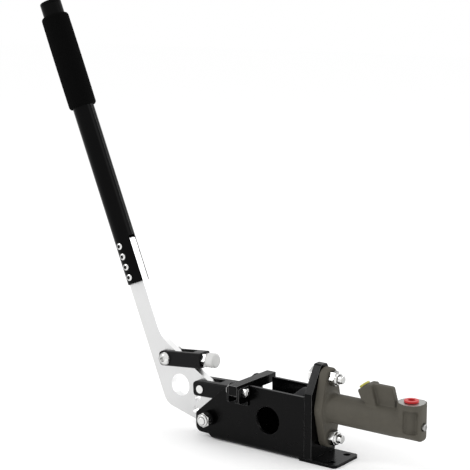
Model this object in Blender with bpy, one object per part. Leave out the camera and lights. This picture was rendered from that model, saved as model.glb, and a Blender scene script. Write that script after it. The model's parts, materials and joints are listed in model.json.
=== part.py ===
"""Upright hydraulic parking brake lever: sheet bracket, flat lever with a tube handle and foam grip,
stop strut with a rubber bumper, clevis and pushrod, master cylinder with its inner parts, and a swing
gate across the bracket. Metres, +Z up, +X towards the cylinder, origin at the centre of the underside.
"""
import bpy
import bmesh
from math import acos, asin, atan2, cos, pi, radians, sin, tan
from mathutils import Matrix, Vector

# Clearances
SEAT = 0.0003
RUNNING = 0.0004
BORE_FIT = 0.0003

# Bracket, one folded sheet
SHEET = 0.003
CHANNEL_WIDTH = 0.041
BEND_RADIUS = 0.005
BASE_LENGTH = 0.145
SIDE_LENGTH = 0.110
SIDE_HEIGHT = 0.062
EAR_REACH = 0.0155
EAR_BOTTOM_HEIGHT = 0.005
EAR_CORNER = 0.0065
EAR_STEP = 0.0020
NOSE_CORNER = 0.0040
SLOPE_CORNER = 0.0030
SHEET_CORNER = 0.0010
NOSE_HEIGHT = 0.024
SLOPE_END = 0.0271
WINDOW_DIAMETER = 0.027
WINDOW_X = 0.0687
WINDOW_HEIGHT = 0.0319
MOUNT_HOLE_DIAMETER = 0.007
MOUNT_HOLE_SPACING = 0.026
MOUNT_HOLE_SETBACK = 0.0085
FRONT_HOLE_X = 0.030
TAB_CORNER = 0.004

# Lever pivot
PIVOT_SETBACK = 0.001
PIVOT_HEIGHT = 0.021
PIVOT_BOLT_DIAMETER = 0.008
PIVOT_HEX = 0.013
PIVOT_HEAD_HEIGHT = 0.0053
PIVOT_NUT_HEIGHT = 0.0075
LOCK_COLLAR_HEIGHT = 0.0022
PIVOT_THREAD_PROUD = 0.0012
WASHER_DIAMETER = 0.015
NEAR_WASHER_THICKNESS = 0.0045
FAR_WASHER_THICKNESS = 0.0015
BUSH_DIAMETER = 0.012
SPACER_DIAMETER = 0.015

# Lever plate, its places measured from the pivot
LEVER_THICKNESS = 0.008
LEVER_LEAN = radians(22.4)
LEVER_BOSS_RADIUS = 0.0135
LEVER_FRONT_EDGE = -0.010
LEVER_REAR_EDGE = 0.0093
LEVER_KNEE = (-0.0742, 0.0660)
LEVER_KNEE_RADIUS = 0.040
LEVER_HEEL = (-0.0674, -0.0011)
LEVER_HEEL_RADIUS = 0.016
LEVER_BELLY = (-0.0300, -0.0109)
LEVER_BELLY_RADIUS = 0.030
LEVER_HOLE = (-0.0494, 0.0209)
LEVER_HOLE_DIAMETER = 0.0225
SHANK_CORNER = 0.0030
SPARE_HOLE_DIAMETER = 0.0075
SPARE_HOLE_ANGLES = (radians(23.0), radians(-2.5))

# Handle tube, from the foot of the tube along its axis
TUBE_FOOT = (-0.1055, 0.1175)
TUBE_DIAMETER = 0.022
TUBE_WALL = 0.002
TUBE_LENGTH = 0.300
TUBE_SLOT = 0.048
HANDLE_SCREW_COUNT = 4
HANDLE_SCREW_FIRST = 0.0070
HANDLE_SCREW_SPACING = 0.0110
HANDLE_SCREW_DIAMETER = 0.005
HANDLE_SCREW_HEAD = 0.0078
HANDLE_SCREW_HEAD_HEIGHT = 0.0024
GRIP_DIAMETER = 0.029
GRIP_LENGTH = 0.100
GRIP_SETBACK = 0.0115
GRIP_END_RADIUS = 0.003
CAP_HEIGHT = 0.003
CAP_INSERT = 0.012

# Forked pieces on the lever
STRUT_WIDTH = 0.0175
CLEVIS_WIDTH = 0.0235
FORK_HEIGHT = 0.0155
FORK_EDGE = 0.0021
FORK_NOSE = 0.0040
FORK_TAIL = 0.0008

# Stop strut and bumper, the bolt's place measured from the pivot
STRUT_BOLT = (-0.0655, 0.0463)
STRUT_BOLT_DIAMETER = 0.008
STRUT_HEAD_DIAMETER = 0.0135
STRUT_HEAD_HEIGHT = 0.0042
STRUT_NUT_HEIGHT = 0.0065
STRUT_FRONT = 0.0070
STRUT_REAR = 0.0440
STRUT_SLOPE = radians(5.4)
STUD_DIAMETER = 0.008
STUD_IN_STRUT = 0.010
BUMPER_NUT_HEX = 0.013
BUMPER_NUT_HEIGHT = 0.0050
BUMPER_DIAMETER = 0.0146
BUMPER_LENGTH = 0.0095
BUMPER_RIM = 0.0020

# Pushrod and clevis
CRANK_RADIUS = 0.0299
CRANK_LEAN = radians(38.2)
CLEVIS_PIN_DIAMETER = 0.007
CLEVIS_FRONT = 0.0085
CLEVIS_REAR = 0.0325
CLEVIS_SLOT_END = 0.0200
CLEVIS_BOSS_RADIUS = 0.0085
PIN_HEAD_DIAMETER = 0.0086
PIN_HEAD_HEIGHT = 0.0010
PIN_CLIP_DIAMETER = 0.013
PIN_CLIP_THICKNESS = 0.0010
PIN_PROUD = 0.0024
PUSHROD_DIAMETER = 0.007
PUSHROD_BALL_DIAMETER = 0.008
PUSHROD_THREAD_IN = 0.0100
PUSHROD_NECK_DIAMETER = 0.0055
PUSHROD_NECK_LENGTH = 0.0050
PUSHROD_NECK_SLOPE = 0.0020
JAM_NUT_HEX = 0.013
JAM_NUT_HEIGHT = 0.0045

# Rear mounting plate of the cylinder
PLATE_THICKNESS = 0.008
PLATE_SHOULDER_RISE = 0.0030
PLATE_SHOULDER_CORNER = 0.0030
PLATE_TOP_RISE = 0.0407
PLATE_TOP_WIDTH = 0.0095
PLATE_TOP_CORNER = 0.0030

# Master cylinder
CYLINDER_HEIGHT = 0.0505
SPIGOT_DIAMETER = 0.025
SPIGOT_REACH = 0.0140
SPIGOT_EDGE = 0.0008
FLANGE_THICKNESS = 0.0085
FLANGE_WAIST_RADIUS = 0.0172
FLANGE_END_RADIUS = 0.0098
FLANGE_BOLT_SPACING = 0.05715
FLANGE_BOLT_DIAMETER = 0.008
FLANGE_HEX = 0.013
FLANGE_NUT_HEIGHT = 0.0080
FLANGE_HEAD_HEIGHT = 0.0050
FLANGE_THREAD_PROUD = 0.0045
BARREL_DIAMETER = 0.028
BARREL_FILLET = 0.0030
BARREL_BLEND = 0.0006
BORE_DIAMETER = 0.01905
BORE_END_WALL = 0.0100
OUTLET_DISTANCE = 0.0929
OUTLET_RADIUS = 0.0130
OUTLET_RISE = 0.0210
OUTLET_CORNER = 0.0100
OUTLET_HEEL = 0.0040
OUTLET_THREAD = 0.0100
OUTLET_PASSAGE = 0.0040
COLUMN_RADIUS = 0.0100
POCKET_REACH = 0.0155
POCKET_DROP = 0.0055
POCKET_RISE = 0.0155
POCKET_START = radians(-97)
POCKET_STOP = radians(-35)

# Reservoir port, its corners measured from the flange's front face and the bore's axis
PORT_HALF_WIDTH = 0.0074
PORT_WEB_HALF_WIDTH = 0.0032
PORT_MOUTH_LOW = (0.0405, 0.0244)
PORT_MOUTH_HIGH = (0.0491, 0.0314)
PORT_HEAD_END = (0.0547, 0.0318)
PORT_HEAD_FOOT = (0.0624, 0.0070)
PORT_CHIN_FOOT = (0.0595, 0.0070)
PORT_CHIN = (0.0441, 0.0171)
PORT_WEB_START = 0.0500
PORT_WEB_TOP = 0.0314
PORT_WEB_END = 0.0742
PORT_WEB_WAIST = (0.0777, 0.0195)
PORT_WEB_FOOT = 0.0785
PORT_CORNER = 0.0010
PORT_WEB_CORNER = 0.0015
PORT_THREAD = 0.0088
PORT_THREAD_DEPTH = 0.0090
PORT_PASSAGE = 0.0030

# Inside the cylinder
CIRCLIP_THICKNESS = 0.0012
CIRCLIP_GROOVE = 0.0010
CIRCLIP_WIDTH = 0.0022
STOP_WASHER_THICKNESS = 0.0010
STOP_WASHER_HOLE = 0.0104
PISTON_SETBACK = 0.0143
PISTON_LENGTH = 0.0500
PISTON_EDGE = 0.0005
PISTON_NOSE = 0.0030
PISTON_CLEARANCE = 0.0004
PISTON_CUP_DIAMETER = 0.0112
PISTON_CUP_DEPTH = 0.0073
PISTON_CUP_GAP = 0.0003
SEAL_WIDTH = 0.0030
SEAL_DEPTH = 0.0024
SEAL_SETBACK = 0.0040
SPRING_WIRE = 0.0014
SPRING_DIAMETER = 0.0150
SPRING_TURNS = 7
SPRING_DEAD_TURNS = 0.75
BOOT_WALL = 0.0012
BOOT_GRIP = 0.0060
BOOT_LENGTH = 0.0170
BOOT_HOLE = 0.0105
BOOT_FOLDS = 3

# Swing gate
GATE_FRONT_X = 0.0353
GATE_WIDTH = 0.0099
GATE_THICKNESS = 0.0092
GATE_TOP_HEIGHT = 0.0645
GATE_NEAR_REACH = 0.0160
GATE_FAR_REACH = 0.0070
GATE_LUG_DEPTH = 0.0120
GATE_LUG_LENGTH = 0.0125
GATE_LUG_CORNER = 0.0040
GATE_EDGE = 0.0008
GATE_BOLT_OUT = 0.0075
GATE_BOLT_HEIGHT = 0.0573
GATE_BOLT_DIAMETER = 0.005
GATE_HEX = 0.008
GATE_HEAD_HEIGHT = 0.0035
GATE_NUT_HEIGHT = 0.0045
GATE_THREAD_PROUD = 0.0008
GATE_EAR_SHEET = 0.0020
GATE_EAR_LOW_CORNER = 0.0040
GATE_EAR_TOP_CORNER = 0.0015
GATE_EAR_HEIGHT = 0.0155
GATE_WEB_DROP = 0.0040
GATE_WEB_HEIGHT = 0.0085
GATE_SIDE_GAP = 0.0028
FAR_NOTCH_DEPTH = 0.0140

# Cylinder plugs
OUTLET_PLUG_RIM = 0.0135
OUTLET_PLUG_DEPTH = 0.0090
PORT_PLUG_RIM = 0.0105
PLUG_END_GAP = 0.0010
PLUG_RIM_HEIGHT = 0.0018
PLUG_RECESS_SHARE = 0.7
PLUG_RECESS_DEPTH = 0.0040
BLEED_DIAMETER = 0.0065
BLEED_PROUD = 0.0022
BLEED_DEPTH = 0.0050

# Places that follow from the sizes above
HALF_CHANNEL = CHANNEL_WIDTH / 2
INNER_HALF = HALF_CHANNEL - SHEET
BASE_FRONT = -BASE_LENGTH / 2
BASE_REAR = BASE_LENGTH / 2
PIVOT_X = BASE_FRONT - PIVOT_SETBACK
SIDE_REAR_X = BASE_FRONT + SIDE_LENGTH
PLATE_FRONT = SIDE_REAR_X + SEAT
PLATE_REAR = PLATE_FRONT + PLATE_THICKNESS
PLATE_SHOULDER = SIDE_HEIGHT + PLATE_SHOULDER_RISE
PLATE_TOP = CYLINDER_HEIGHT + PLATE_TOP_RISE
FLANGE_FRONT = PLATE_REAR + SEAT
FLANGE_REAR = FLANGE_FRONT + FLANGE_THICKNESS
SPIGOT_FRONT = FLANGE_FRONT - PLATE_THICKNESS - SPIGOT_REACH
OUTLET_X = FLANGE_FRONT + OUTLET_DISTANCE
CYLINDER_REAR = OUTLET_X + OUTLET_RADIUS
OUTLET_TOP = CYLINDER_HEIGHT + OUTLET_RISE
BORE_END = OUTLET_X - BORE_END_WALL
BORE_RADIUS = BORE_DIAMETER / 2
BARREL_RADIUS = BARREL_DIAMETER / 2
CRANK_X = -CRANK_RADIUS * sin(CRANK_LEAN)
CRANK_Z = CRANK_RADIUS * cos(CRANK_LEAN)
PIN_POINT = Vector((PIVOT_X + CRANK_X, 0.0, PIVOT_HEIGHT + CRANK_Z))
PISTON_FRONT = SPIGOT_FRONT + PISTON_SETBACK
PISTON_REAR = PISTON_FRONT + PISTON_LENGTH
BALL_X = PISTON_FRONT + PISTON_CUP_DEPTH - PISTON_CUP_GAP - PUSHROD_BALL_DIAMETER / 2
PUSHROD_RUN = Vector((BALL_X - PIN_POINT.x, CYLINDER_HEIGHT - PIN_POINT.z))
PUSHROD_LENGTH = PUSHROD_RUN.length
PUSHROD_SLOPE = atan2(PUSHROD_RUN.y, PUSHROD_RUN.x)
GATE_X = PIVOT_X + GATE_FRONT_X
GATE_AXIS_Y = -HALF_CHANNEL - GATE_BOLT_OUT

SEGMENTS = 32
MEDIUM_SEGMENTS = 24
SMALL_SEGMENTS = 16


# Outlines

def rounded(corners, steps=5):
    """Points of a closed outline. Each corner is (a, b, radius), and its fillet takes that radius."""
    points = []
    count = len(corners)
    for index, (a, b, radius) in enumerate(corners):
        corner = Vector((a, b))
        before = (Vector(corners[index - 1][:2]) - corner).normalized()
        after = (Vector(corners[(index + 1) % count][:2]) - corner).normalized()
        if radius <= 0.0:
            points.append((a, b))
            continue
        half = before.angle(after) / 2
        centre = corner + (before + after).normalized() * (radius / sin(half))
        first = corner + before * (radius / tan(half)) - centre
        last = corner + after * (radius / tan(half)) - centre
        start = atan2(first.y, first.x)
        sweep = (atan2(last.y, last.x) - start + pi) % (2 * pi) - pi
        for step in range(steps + 1):
            angle = start + sweep * step / steps
            points.append((centre.x + radius * cos(angle), centre.y + radius * sin(angle)))
    return points


def arc(centre, radius, start, end, steps=10):
    """Points of an arc about centre, from the angle start to the angle end."""
    points = []
    for step in range(steps + 1):
        angle = start + (end - start) * step / steps
        points.append((centre[0] + radius * cos(angle), centre[1] + radius * sin(angle)))
    return points


def hexagon(across_flats, turn=0.0):
    """Corners of a hexagon about the origin."""
    radius = across_flats / 2 / cos(pi / 6)
    return [(radius * cos(turn + side * pi / 3), radius * sin(turn + side * pi / 3)) for side in range(6)]


def rectangle(low, high):
    """Corners of a rectangle from its low and high corners."""
    return [(low[0], low[1]), (high[0], low[1]), (high[0], high[1]), (low[0], high[1])]


# Solids

def mesh_object(name, shape):
    """A mesh object made from a bmesh, with its faces turned outwards."""
    bmesh.ops.remove_doubles(shape, verts=shape.verts, dist=1e-7)
    bmesh.ops.recalc_face_normals(shape, faces=shape.faces)
    mesh = bpy.data.meshes.new(name)
    shape.to_mesh(mesh)
    shape.free()
    item = bpy.data.objects.new(name, mesh)
    bpy.context.scene.collection.objects.link(item)
    return item


def prism(outline, axis, low, high, name="solid"):
    """An outline extruded along X, Y or Z. Its points are (y, z), (x, z) or (x, y)."""
    place = {
        "X": lambda a, b, level: (level, a, b),
        "Y": lambda a, b, level: (a, level, b),
        "Z": lambda a, b, level: (a, b, level),
    }[axis]
    shape = bmesh.new()
    bottom = [shape.verts.new(place(a, b, low)) for a, b in outline]
    top = [shape.verts.new(place(a, b, high)) for a, b in outline]
    shape.faces.new(bottom)
    shape.faces.new(reversed(top))
    count = len(outline)
    for index in range(count):
        following = (index + 1) % count
        shape.faces.new((bottom[index], bottom[following], top[following], top[index]))
    return mesh_object(name, shape)


def turned(profile, origin, axis, segments=SEGMENTS, ring=False, name="solid"):
    """A profile of (distance along the axis, radius) points turned about the axis through origin.

    With ring set the profile is a closed loop that stays clear of the axis.
    """
    along = Vector(axis).normalized()
    side = along.orthogonal().normalized()
    other = along.cross(side)
    start = Vector(origin)
    shape = bmesh.new()
    rows = []
    for distance, radius in profile:
        if radius <= 0.0:
            rows.append([shape.verts.new(start + along * distance)])
            continue
        row = []
        for step in range(segments):
            angle = 2 * pi * step / segments
            offset = side * (radius * cos(angle)) + other * (radius * sin(angle))
            row.append(shape.verts.new(start + along * distance + offset))
        rows.append(row)
    pairs = list(zip(rows, rows[1:]))
    if ring:
        pairs.append((rows[-1], rows[0]))
    for first, second in pairs:
        for step in range(segments):
            following = (step + 1) % segments
            corners = [first[step % len(first)], first[following % len(first)]]
            corners += [second[following % len(second)], second[step % len(second)]]
            unique = list(dict.fromkeys(corners))
            if len(unique) > 2:
                shape.faces.new(unique)
    return mesh_object(name, shape)


def rod(origin, axis, length, diameter, chamfer=0.0, segments=SMALL_SEGMENTS):
    """A round bar from origin along axis, with both ends chamfered."""
    radius = diameter / 2
    profile = [(0.0, 0.0), (0.0, radius - chamfer), (chamfer, radius)]
    profile += [(length - chamfer, radius), (length, radius - chamfer), (length, 0.0)]
    if chamfer <= 0.0:
        profile = [(0.0, 0.0), (0.0, radius), (length, radius), (length, 0.0)]
    return turned(profile, origin, axis, segments)


def tube(origin, axis, length, outer, inner, segments=SMALL_SEGMENTS):
    """A plain round tube from origin along axis."""
    profile = [(0.0, inner / 2), (0.0, outer / 2), (length, outer / 2), (length, inner / 2)]
    return turned(profile, origin, axis, segments, ring=True)


def block(low, high):
    """A rectangular block between two corners."""
    return prism(rectangle(low[:2], high[:2]), "Z", low[2], high[2])


def boolean(target, tool, operation):
    """Apply one exact boolean to target and delete the tool."""
    modifier = target.modifiers.new("boolean", "BOOLEAN")
    modifier.operation = operation
    modifier.solver = "EXACT"
    modifier.object = tool
    bpy.context.view_layer.update()
    graph = bpy.context.evaluated_depsgraph_get()
    result = bpy.data.meshes.new_from_object(target.evaluated_get(graph))
    target.modifiers.remove(modifier)
    target.data = result
    bpy.data.objects.remove(tool)
    return target


def joined(target, *tools):
    """Target with the tools added to it as one body."""
    for tool in tools:
        boolean(target, tool, "UNION")
    return target


def cut(target, *tools):
    """Target with the tools taken out of it."""
    for tool in tools:
        boolean(target, tool, "DIFFERENCE")
    return target


def common(target, tool):
    """The part of target that lies inside the tool."""
    return boolean(target, tool, "INTERSECT")


def transformed(item, matrix):
    """The item with its mesh moved by a matrix."""
    item.data.transform(matrix)
    return item


def swept(points, radius, sides):
    """A round wire along a list of points, closed at both ends."""
    shape = bmesh.new()
    rows = []
    normal = Vector((0.0, 0.0, 1.0))
    for index, point in enumerate(points):
        before = points[max(index - 1, 0)]
        after = points[min(index + 1, len(points) - 1)]
        tangent = (after - before).normalized()
        normal = (normal - tangent * normal.dot(tangent)).normalized()
        other = tangent.cross(normal)
        row = []
        for step in range(sides):
            angle = 2 * pi * step / sides
            offset = normal * (radius * cos(angle)) + other * (radius * sin(angle))
            row.append(shape.verts.new(point + offset))
        rows.append(row)
    for first, second in zip(rows, rows[1:]):
        for step in range(sides):
            following = (step + 1) % sides
            shape.faces.new((first[step], first[following], second[following], second[step]))
    shape.faces.new(reversed(rows[0]))
    shape.faces.new(rows[-1])
    return mesh_object("wire", shape)


# Finishes

def finish(name, colour, roughness, metallic):
    """A Principled material of one colour."""
    material = bpy.data.materials.new(name)
    material.use_nodes = True
    shader = material.node_tree.nodes["Principled BSDF"]
    shader.inputs["Base Color"].default_value = (*colour, 1.0)
    shader.inputs["Roughness"].default_value = roughness
    shader.inputs["Metallic"].default_value = metallic
    return material


BLACK_COAT = ((0.012, 0.012, 0.013), 0.28, 0.0)
BLACK_TUBE = ((0.010, 0.010, 0.010), 0.25, 0.0)
BRIGHT_ALUMINIUM = ((0.80, 0.80, 0.80), 0.35, 1.0)
CAST_GREY = ((0.165, 0.155, 0.130), 0.60, 0.3)
ZINC = ((0.72, 0.72, 0.70), 0.28, 1.0)
FOAM = ((0.008, 0.008, 0.008), 0.95, 0.0)
RUBBER = ((0.030, 0.030, 0.032), 0.70, 0.0)
WHITE_RUBBER = ((0.86, 0.86, 0.85), 0.55, 0.0)
SPRING_STEEL = ((0.45, 0.45, 0.46), 0.35, 1.0)
RED_PLASTIC = ((0.70, 0.020, 0.015), 0.40, 0.0)
YELLOW_PLASTIC = ((0.72, 0.66, 0.10), 0.45, 0.0)
BRONZE = ((0.55, 0.38, 0.18), 0.40, 1.0)


def part(name, item, look, parent=None):
    """Name a finished solid, give it its own material and hang it on its joint's empty."""
    item.name = name
    item.data.name = name
    item.data.materials.clear()
    item.data.materials.append(finish(name, *look))
    for polygon in item.data.polygons:
        polygon.material_index = 0
    item.data.shade_smooth()
    item.data.set_sharp_from_angle(angle=radians(32))
    if parent is not None:
        item.parent = parent
        item.matrix_parent_inverse = parent.matrix_world.inverted()
    return item


def axis_empty(name, place):
    """An empty on a joint's axis, the parent of what turns or slides there."""
    empty = bpy.data.objects.new(name, None)
    empty.location = place
    bpy.context.scene.collection.objects.link(empty)
    bpy.context.view_layer.update()
    return empty


# Bracket

def side_outline():
    """The side plate seen from the side, with the pivot ear at the front and the sloping nose."""
    nose_x = PIVOT_X - EAR_REACH - PIVOT_SETBACK
    return rounded([
        (BASE_FRONT, 0.0, SHEET_CORNER),
        (SIDE_REAR_X, 0.0, 0.0),
        (SIDE_REAR_X, SIDE_HEIGHT, SHEET_CORNER),
        (PIVOT_X + SLOPE_END, SIDE_HEIGHT, SLOPE_CORNER),
        (nose_x, NOSE_HEIGHT, NOSE_CORNER),
        (nose_x, EAR_BOTTOM_HEIGHT, EAR_CORNER),
        (BASE_FRONT - EAR_STEP, EAR_BOTTOM_HEIGHT, SHEET_CORNER),
        (BASE_FRONT, EAR_BOTTOM_HEIGHT - EAR_STEP, 0.0),
    ])


def channel_section():
    """The U section of the folded sheet, (y, z)."""
    inner_radius = BEND_RADIUS - SHEET
    return rounded([
        (-HALF_CHANNEL, 0.0, BEND_RADIUS),
        (HALF_CHANNEL, 0.0, BEND_RADIUS),
        (HALF_CHANNEL, SIDE_HEIGHT, 0.0),
        (INNER_HALF, SIDE_HEIGHT, 0.0),
        (INNER_HALF, SHEET, inner_radius),
        (-INNER_HALF, SHEET, inner_radius),
        (-INNER_HALF, SIDE_HEIGHT, 0.0),
        (-HALF_CHANNEL, SIDE_HEIGHT, 0.0),
    ])


def base_bracket():
    """The folded channel with its rear tab, window, notches and holes."""
    reach = PIVOT_X - EAR_REACH - 2 * PIVOT_SETBACK
    bracket = prism(channel_section(), "X", reach, SIDE_REAR_X)
    bracket = common(bracket, prism(side_outline(), "Y", -CHANNEL_WIDTH, CHANNEL_WIDTH))
    tab_front = SIDE_REAR_X - BEND_RADIUS
    tab = rounded([
        (tab_front, -HALF_CHANNEL, 0.0),
        (BASE_REAR, -HALF_CHANNEL, TAB_CORNER),
        (BASE_REAR, HALF_CHANNEL, TAB_CORNER),
        (tab_front, HALF_CHANNEL, 0.0),
    ])
    joined(bracket, prism(tab, "Z", 0.0, SHEET))
    across = (0.0, 1.0, 0.0)
    window = rod((BASE_FRONT + WINDOW_X, -CHANNEL_WIDTH, WINDOW_HEIGHT), across, 2 * CHANNEL_WIDTH,
                 WINDOW_DIAMETER, segments=SEGMENTS)
    bore = rod((PIVOT_X, -CHANNEL_WIDTH, PIVOT_HEIGHT), across, 2 * CHANNEL_WIDTH,
               PIVOT_BOLT_DIAMETER + 2 * BORE_FIT)
    cut(bracket, window, bore)
    seat_height = GATE_TOP_HEIGHT - GATE_THICKNESS - SEAT
    near_notch = block((GATE_X - 2 * SEAT, -CHANNEL_WIDTH, seat_height),
                       (GATE_X + GATE_WIDTH + 2 * SEAT, 0.0, SIDE_HEIGHT + SHEET))
    far_notch = block((GATE_X - 2 * SEAT, 0.0, SIDE_HEIGHT - FAR_NOTCH_DEPTH),
                      (GATE_X + GATE_WIDTH + GATE_SIDE_GAP, CHANNEL_WIDTH, SIDE_HEIGHT + SHEET))
    cut(bracket, near_notch, far_notch)
    for x in (BASE_FRONT + FRONT_HOLE_X, BASE_REAR - MOUNT_HOLE_SETBACK):
        for side in (-1, 1):
            hole = rod((x, side * MOUNT_HOLE_SPACING / 2, -SHEET), (0, 0, 1), 3 * SHEET, MOUNT_HOLE_DIAMETER)
            cut(bracket, hole)
    return bracket


def rear_mount_plate():
    """The upright plate that closes the channel and carries the cylinder."""
    low = SHEET + SEAT
    outline = rounded([
        (-HALF_CHANNEL, low, 0.0),
        (HALF_CHANNEL, low, 0.0),
        (HALF_CHANNEL, PLATE_SHOULDER, PLATE_SHOULDER_CORNER),
        (PLATE_TOP_WIDTH / 2, PLATE_TOP, PLATE_TOP_CORNER),
        (-PLATE_TOP_WIDTH / 2, PLATE_TOP, PLATE_TOP_CORNER),
        (-HALF_CHANNEL, PLATE_SHOULDER, PLATE_SHOULDER_CORNER),
    ])
    plate = prism(outline, "X", PLATE_FRONT, PLATE_REAR)
    along = (1.0, 0.0, 0.0)
    start = PLATE_FRONT - PLATE_THICKNESS
    cut(plate, rod((start, 0.0, CYLINDER_HEIGHT), along, 3 * PLATE_THICKNESS,
                   SPIGOT_DIAMETER + 2 * BORE_FIT, segments=SEGMENTS))
    for height in flange_bolt_heights():
        cut(plate, rod((start, 0.0, height), along, 3 * PLATE_THICKNESS,
                       FLANGE_BOLT_DIAMETER + 2 * BORE_FIT))
    return plate


def flange_bolt_heights():
    """Heights of the lower and the upper flange bolt."""
    return (CYLINDER_HEIGHT - FLANGE_BOLT_SPACING / 2, CYLINDER_HEIGHT + FLANGE_BOLT_SPACING / 2)


# Fasteners

def hex_bolt(seat, axis, across_flats, head_height, diameter, length):
    """A hexagon bolt. seat is the centre of the face under the head, and axis points along the shank."""
    head = prism(hexagon(across_flats), "Z", -head_height, 0.0)
    shank = rod((0, 0, -head_height / 2), (0, 0, 1), length + head_height / 2, diameter, diameter / 12)
    bolt = joined(head, shank)
    return transformed(bolt, facing(seat, axis))


def facing(place, axis):
    """The matrix that takes +Z to axis and the origin to place."""
    turn = Vector((0, 0, 1)).rotation_difference(Vector(axis).normalized())
    return Matrix.Translation(Vector(place)) @ turn.to_matrix().to_4x4()


def hex_nut(seat, axis, across_flats, height, bore, collar=0.0):
    """A nut on its seat, with a round locking collar on its outer end when collar is not zero."""
    nut = prism(hexagon(across_flats, pi / 6), "Z", 0.0, height - collar)
    if collar > 0.0:
        outer = across_flats / 2 * 0.94
        dome = turned([(0.0, 0.0), (0.0, outer), (height - collar / 2, outer), (height, outer - collar / 2),
                       (height, 0.0)], (0, 0, 0), (0, 0, 1), SMALL_SEGMENTS)
        joined(nut, dome)
    cut(nut, rod((0, 0, -height), (0, 0, 1), 3 * height, bore))
    return transformed(nut, facing(seat, axis))


def button_screw(seat, axis, head_diameter, head_height, diameter, length, socket):
    """A domed screw with a hexagon socket. seat is the centre of the face under the head."""
    half = head_diameter / 2
    profile = [(length, 0.0), (length, diameter / 2), (0.0, diameter / 2), (0.0, half)]
    for step in range(1, 6):
        angle = step * pi / 12
        profile.append((-head_height * sin(angle), half * cos(angle) ** 0.7))
    profile += [(-head_height, half * 0.45), (-head_height, 0.0)]
    screw = turned(profile, (0, 0, 0), (0, 0, 1), SMALL_SEGMENTS)
    recess = prism(hexagon(socket), "Z", -2 * head_height, -head_height * 0.4)
    cut(screw, recess)
    return transformed(screw, facing(seat, axis))


# Lever

def about_pivot(point):
    """A place measured from the pivot, as (x, z) in the part's frame."""
    return (PIVOT_X + point[0], PIVOT_HEIGHT + point[1])


def tube_frame():
    """The matrix of the tube's own frame: origin at its foot, +Z along it and +X to the rear."""
    foot = about_pivot(TUBE_FOOT)
    turn = Matrix.Rotation(-LEVER_LEAN, 4, "Y")
    return Matrix.Translation(Vector((foot[0], 0.0, foot[1]))) @ turn


def on_tube(across, along):
    """A point of the tube's frame as (x, z)."""
    point = tube_frame() @ Vector((across, 0.0, along))
    return (point.x, point.z)


def lever_outline():
    """The lever seen from the side: boss at the pivot, boss at the clevis pin, knee and straight shank."""
    pivot = (PIVOT_X, PIVOT_HEIGHT)
    pin = (PIN_POINT.x, PIN_POINT.z)
    belly = Vector(about_pivot(LEVER_BELLY))
    knee = Vector(about_pivot(LEVER_KNEE))
    to_belly = belly - Vector(pivot)
    belly_tangent = atan2(to_belly.y, to_belly.x) + acos(LEVER_BOSS_RADIUS / to_belly.length)
    to_pin = Vector(pin) - Vector(pivot)
    rear_tangent = atan2(to_pin.y, to_pin.x) - acos((LEVER_BOSS_RADIUS - CLEVIS_BOSS_RADIUS) / to_pin.length)
    to_knee = knee - Vector(pin)
    knee_tangent = atan2(to_knee.y, to_knee.x) - acos(CLEVIS_BOSS_RADIUS / to_knee.length)
    top = TUBE_SLOT - 2 * SEAT
    frame_corners = [
        (*about_pivot(LEVER_HEEL), LEVER_HEEL_RADIUS),
        (*belly, LEVER_BELLY_RADIUS),
    ]
    boss_sweep = (rear_tangent - belly_tangent) % (2 * pi)
    boss = arc(pivot, LEVER_BOSS_RADIUS, belly_tangent, belly_tangent + boss_sweep, 14)
    pin_boss = arc(pin, CLEVIS_BOSS_RADIUS, rear_tangent, knee_tangent, 4)
    corners = frame_corners + [(*point, 0.0) for point in boss + pin_boss]
    corners.append((*knee, LEVER_KNEE_RADIUS))
    corners.append((*on_tube(LEVER_REAR_EDGE, top), SHANK_CORNER))
    corners.append((*on_tube(LEVER_FRONT_EDGE, top), SHANK_CORNER))
    return rounded(corners, 8)


def lever_plate():
    """The flat lever with all its holes."""
    half = LEVER_THICKNESS / 2
    plate = prism(lever_outline(), "Y", -half, half)
    across = (0.0, 1.0, 0.0)

    def hole(point, diameter, segments=SMALL_SEGMENTS):
        cut(plate, rod((point[0], -LEVER_THICKNESS, point[1]), across, 2 * LEVER_THICKNESS, diameter,
                       segments=segments))

    hole((PIVOT_X, PIVOT_HEIGHT), BUSH_DIAMETER + 2 * BORE_FIT)
    hole((PIN_POINT.x, PIN_POINT.z), CLEVIS_PIN_DIAMETER + 2 * BORE_FIT)
    hole(about_pivot(LEVER_HOLE), LEVER_HOLE_DIAMETER, SEGMENTS)
    hole(about_pivot(STRUT_BOLT), STRUT_BOLT_DIAMETER + 2 * BORE_FIT)
    for angle in SPARE_HOLE_ANGLES:
        hole(about_pivot((-CRANK_RADIUS * cos(angle), CRANK_RADIUS * sin(angle))), SPARE_HOLE_DIAMETER)
    for distance in handle_screw_places():
        hole(on_tube(0.0, distance), HANDLE_SCREW_DIAMETER + 2 * BORE_FIT)
    return plate


def handle_screw_places():
    """Distances of the handle screws from the foot of the tube."""
    return [HANDLE_SCREW_FIRST + HANDLE_SCREW_SPACING * index for index in range(HANDLE_SCREW_COUNT)]


def handle_tube():
    """The handle tube, slotted at its foot over the lever plate and drilled for its screws."""
    bore = TUBE_DIAMETER - 2 * TUBE_WALL
    pipe = tube((0, 0, 0), (0, 0, 1), TUBE_LENGTH, TUBE_DIAMETER, bore, MEDIUM_SEGMENTS)
    half = LEVER_THICKNESS / 2 + SEAT
    cut(pipe, block((-TUBE_DIAMETER, -half, -TUBE_WALL), (TUBE_DIAMETER, half, TUBE_SLOT)))
    for distance in handle_screw_places():
        cut(pipe, rod((0, -TUBE_DIAMETER, distance), (0, 1, 0), 2 * TUBE_DIAMETER,
                      HANDLE_SCREW_DIAMETER + 2 * BORE_FIT))
    return transformed(pipe, tube_frame())


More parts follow.
